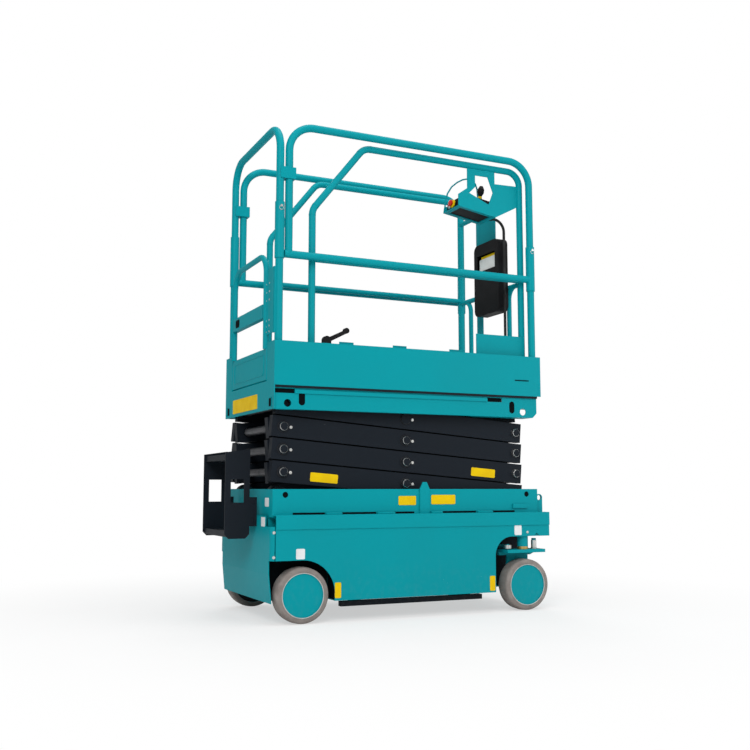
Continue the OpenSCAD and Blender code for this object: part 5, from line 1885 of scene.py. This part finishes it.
@dataclass
class Studio:
    """Camera, light, floor and world, in metres."""

    eye: Triple = (-1.9841, -4.3064, 0.5766)
    yaw: float = math.radians(25.02)
    pitch: float = math.radians(6.641)
    lens: float = 46.445
    sensor: float = 36.0
    reach: float = 200.0
    floor_size: float = 60.0
    floor_tones: Pair = (0.86, 0.9)
    floor_grain: Pair = (3.0, 3.0)
    shadow_range: Pair = (0.9, 2.6)
    shadow_share: float = 0.45
    white_share: float = 0.55
    sky_seen: float = 0.62
    sky_light: float = 0.38
    camera_ray: int = 0
    transmission_ray: int = 6

    def camera(self) -> None:
        """Sets the camera where the photograph was taken from."""
        data = bpy.data.cameras.new("camera")
        data.lens = self.lens
        data.sensor_width = self.sensor
        data.clip_end = self.reach
        ahead = Vector((math.sin(self.yaw) * math.cos(self.pitch), math.cos(self.yaw) * math.cos(self.pitch),
                        math.sin(self.pitch)))
        camera = add_to_scene("camera", data)
        camera.matrix_world = aimed(self.eye, ahead)
        bpy.context.scene.camera = camera

    def seen(self, shade: Shade) -> Val:
        """One for rays that show the background itself, else zero."""
        path = "ShaderNodeLightPath"
        return shade.node(path, out=self.camera_ray) + shade.node(path, out=self.transmission_ray) > 0.5

    def floor(self) -> None:
        """Lays a pale floor that keeps a soft shadow."""
        shade = Shade.material("pale_floor")
        dark, pale = (rgba((tone, tone, tone)) for tone in self.floor_tones)
        tone = shade.mix(shade.noise(*self.floor_grain), dark, pale)
        plain = shade.node("ShaderNodeBsdfDiffuse", {}, {"Color": tone})
        white = shade.node("ShaderNodeEmission", {}, {"Color": rgba(WHITE_LIGHT), "Strength": 1.0})
        away = shade.node("ShaderNodeVectorMath", {"operation": "LENGTH"}, {0: shade.coords()}, out=1)
        cover = shade.ramp(away, *self.shadow_range) * self.shadow_share + self.white_share
        both = shade.node("ShaderNodeMixShader", {}, {0: self.seen(shade) * cover, 1: plain, 2: white})
        shade.node("ShaderNodeOutputMaterial", {}, {"Surface": both})
        half = self.floor_size / 2
        mesh = bpy.data.meshes.new("floor")
        corners = [(-half, -half, 0.0), (half, -half, 0.0), (half, half, 0.0), (-half, half, 0.0)]
        mesh.from_pydata(corners, [], [(0, 1, 2, 3)])
        mesh.materials.append(shade.owner)
        floor = add_to_scene("floor", mesh)

    def world(self) -> None:
        """Sets an even grey sky that shows as white."""
        world = bpy.data.worlds.new("studio")
        shade = Shade(world)
        strength = self.seen(shade) * self.sky_seen + self.sky_light
        sky = shade.node("ShaderNodeBackground", {}, {"Color": rgba(WHITE_LIGHT), "Strength": strength})
        shade.node("ShaderNodeOutputWorld", {}, {"Surface": sky})
        bpy.context.scene.world = world

    def build(self) -> None:
        """Sets up the whole studio."""
        bpy.context.scene.view_settings.view_transform = "Standard"
        self.camera()
        for lamp in LAMPS:
            lamp.build()
        self.floor()
        self.world()


# Whole machine


SLOT_LOOK = {Slot.TEAL: Look.TEAL, Slot.CHARCOAL: Look.CHARCOAL, Slot.TYRE: Look.TYRE, Slot.STEEL: Look.STEEL,
             Slot.BRASS: Look.BRASS, Slot.BLACK: Look.BLACK, Slot.CABLE: Look.CABLE}
NODE_LOOK = {"lift_ram": Look.ROD, "hydraulic_unit": Look.SHAFT}
LARGE_BOLT = BoltSize(head=0.0054, tall=0.0036, washer=0.0070, thin=0.0012)
SMALL_BOLT = BoltSize(head=0.0050, tall=0.0032, washer=0.0064, thin=0.0012)
RIVET = BoltSize(head=0.0034, tall=0.0016, washer=0.0046, thin=0.0008)
STEP_TREAD = TreadSize(pitch=0.024, long=0.006, wide=0.002, tall=0.0012)


def dress_solids(frame: dict[str, Any], shop: Shop) -> None:
    """Gives every solid of the frame its finish.

    Args:
        frame: the loaded frame.
        shop: finishes.
    """
    slots = {item["node"]: Slot(item["material_slot"]) for item in frame["record"]["subparts"]}
    for name, node in frame["nodes"].items():
        look = NODE_LOOK.get(name, SLOT_LOOK[slots[name]])
        node.data.materials.clear()
        node.data.materials.append(shop.finish[look])
        LOG.info("%s is finished in %s", name, look.value)


def main() -> None:
    """Builds the studio and dresses the machine."""
    logging.basicConfig(level=logging.INFO, format="%(name)s: %(message)s")
    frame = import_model()
    Studio().build()
    shop, bolts, tread, datum = Shop(), Bolts(), Tread(), Datum()
    ControlCable().build(shop, datum)
    dress_solids(frame, shop)
    Wheels().build(shop)
    ScissorTrim(LARGE_BOLT).build(shop, bolts, datum)
    ChassisTrim(SMALL_BOLT).build(shop, bolts, datum)
    ChassisLinings().build(shop, datum)
    SteeringTrim().build(shop, datum)
    platform = PlatformTrim(RIVET)
    platform.build(shop, bolts, datum)
    GateTrim(RIVET).build(shop, bolts, datum, platform)
    Console(RIVET).build(shop, bolts, datum)
    Papers().build(shop, datum)
    Plates(plate_spots(datum)).build(shop)
    DeckTread(TreadSize(), STEP_TREAD).build(shop, tread)
    LOG.info("%d pieces", shop.count)


if __name__ == "__main__":
    main()
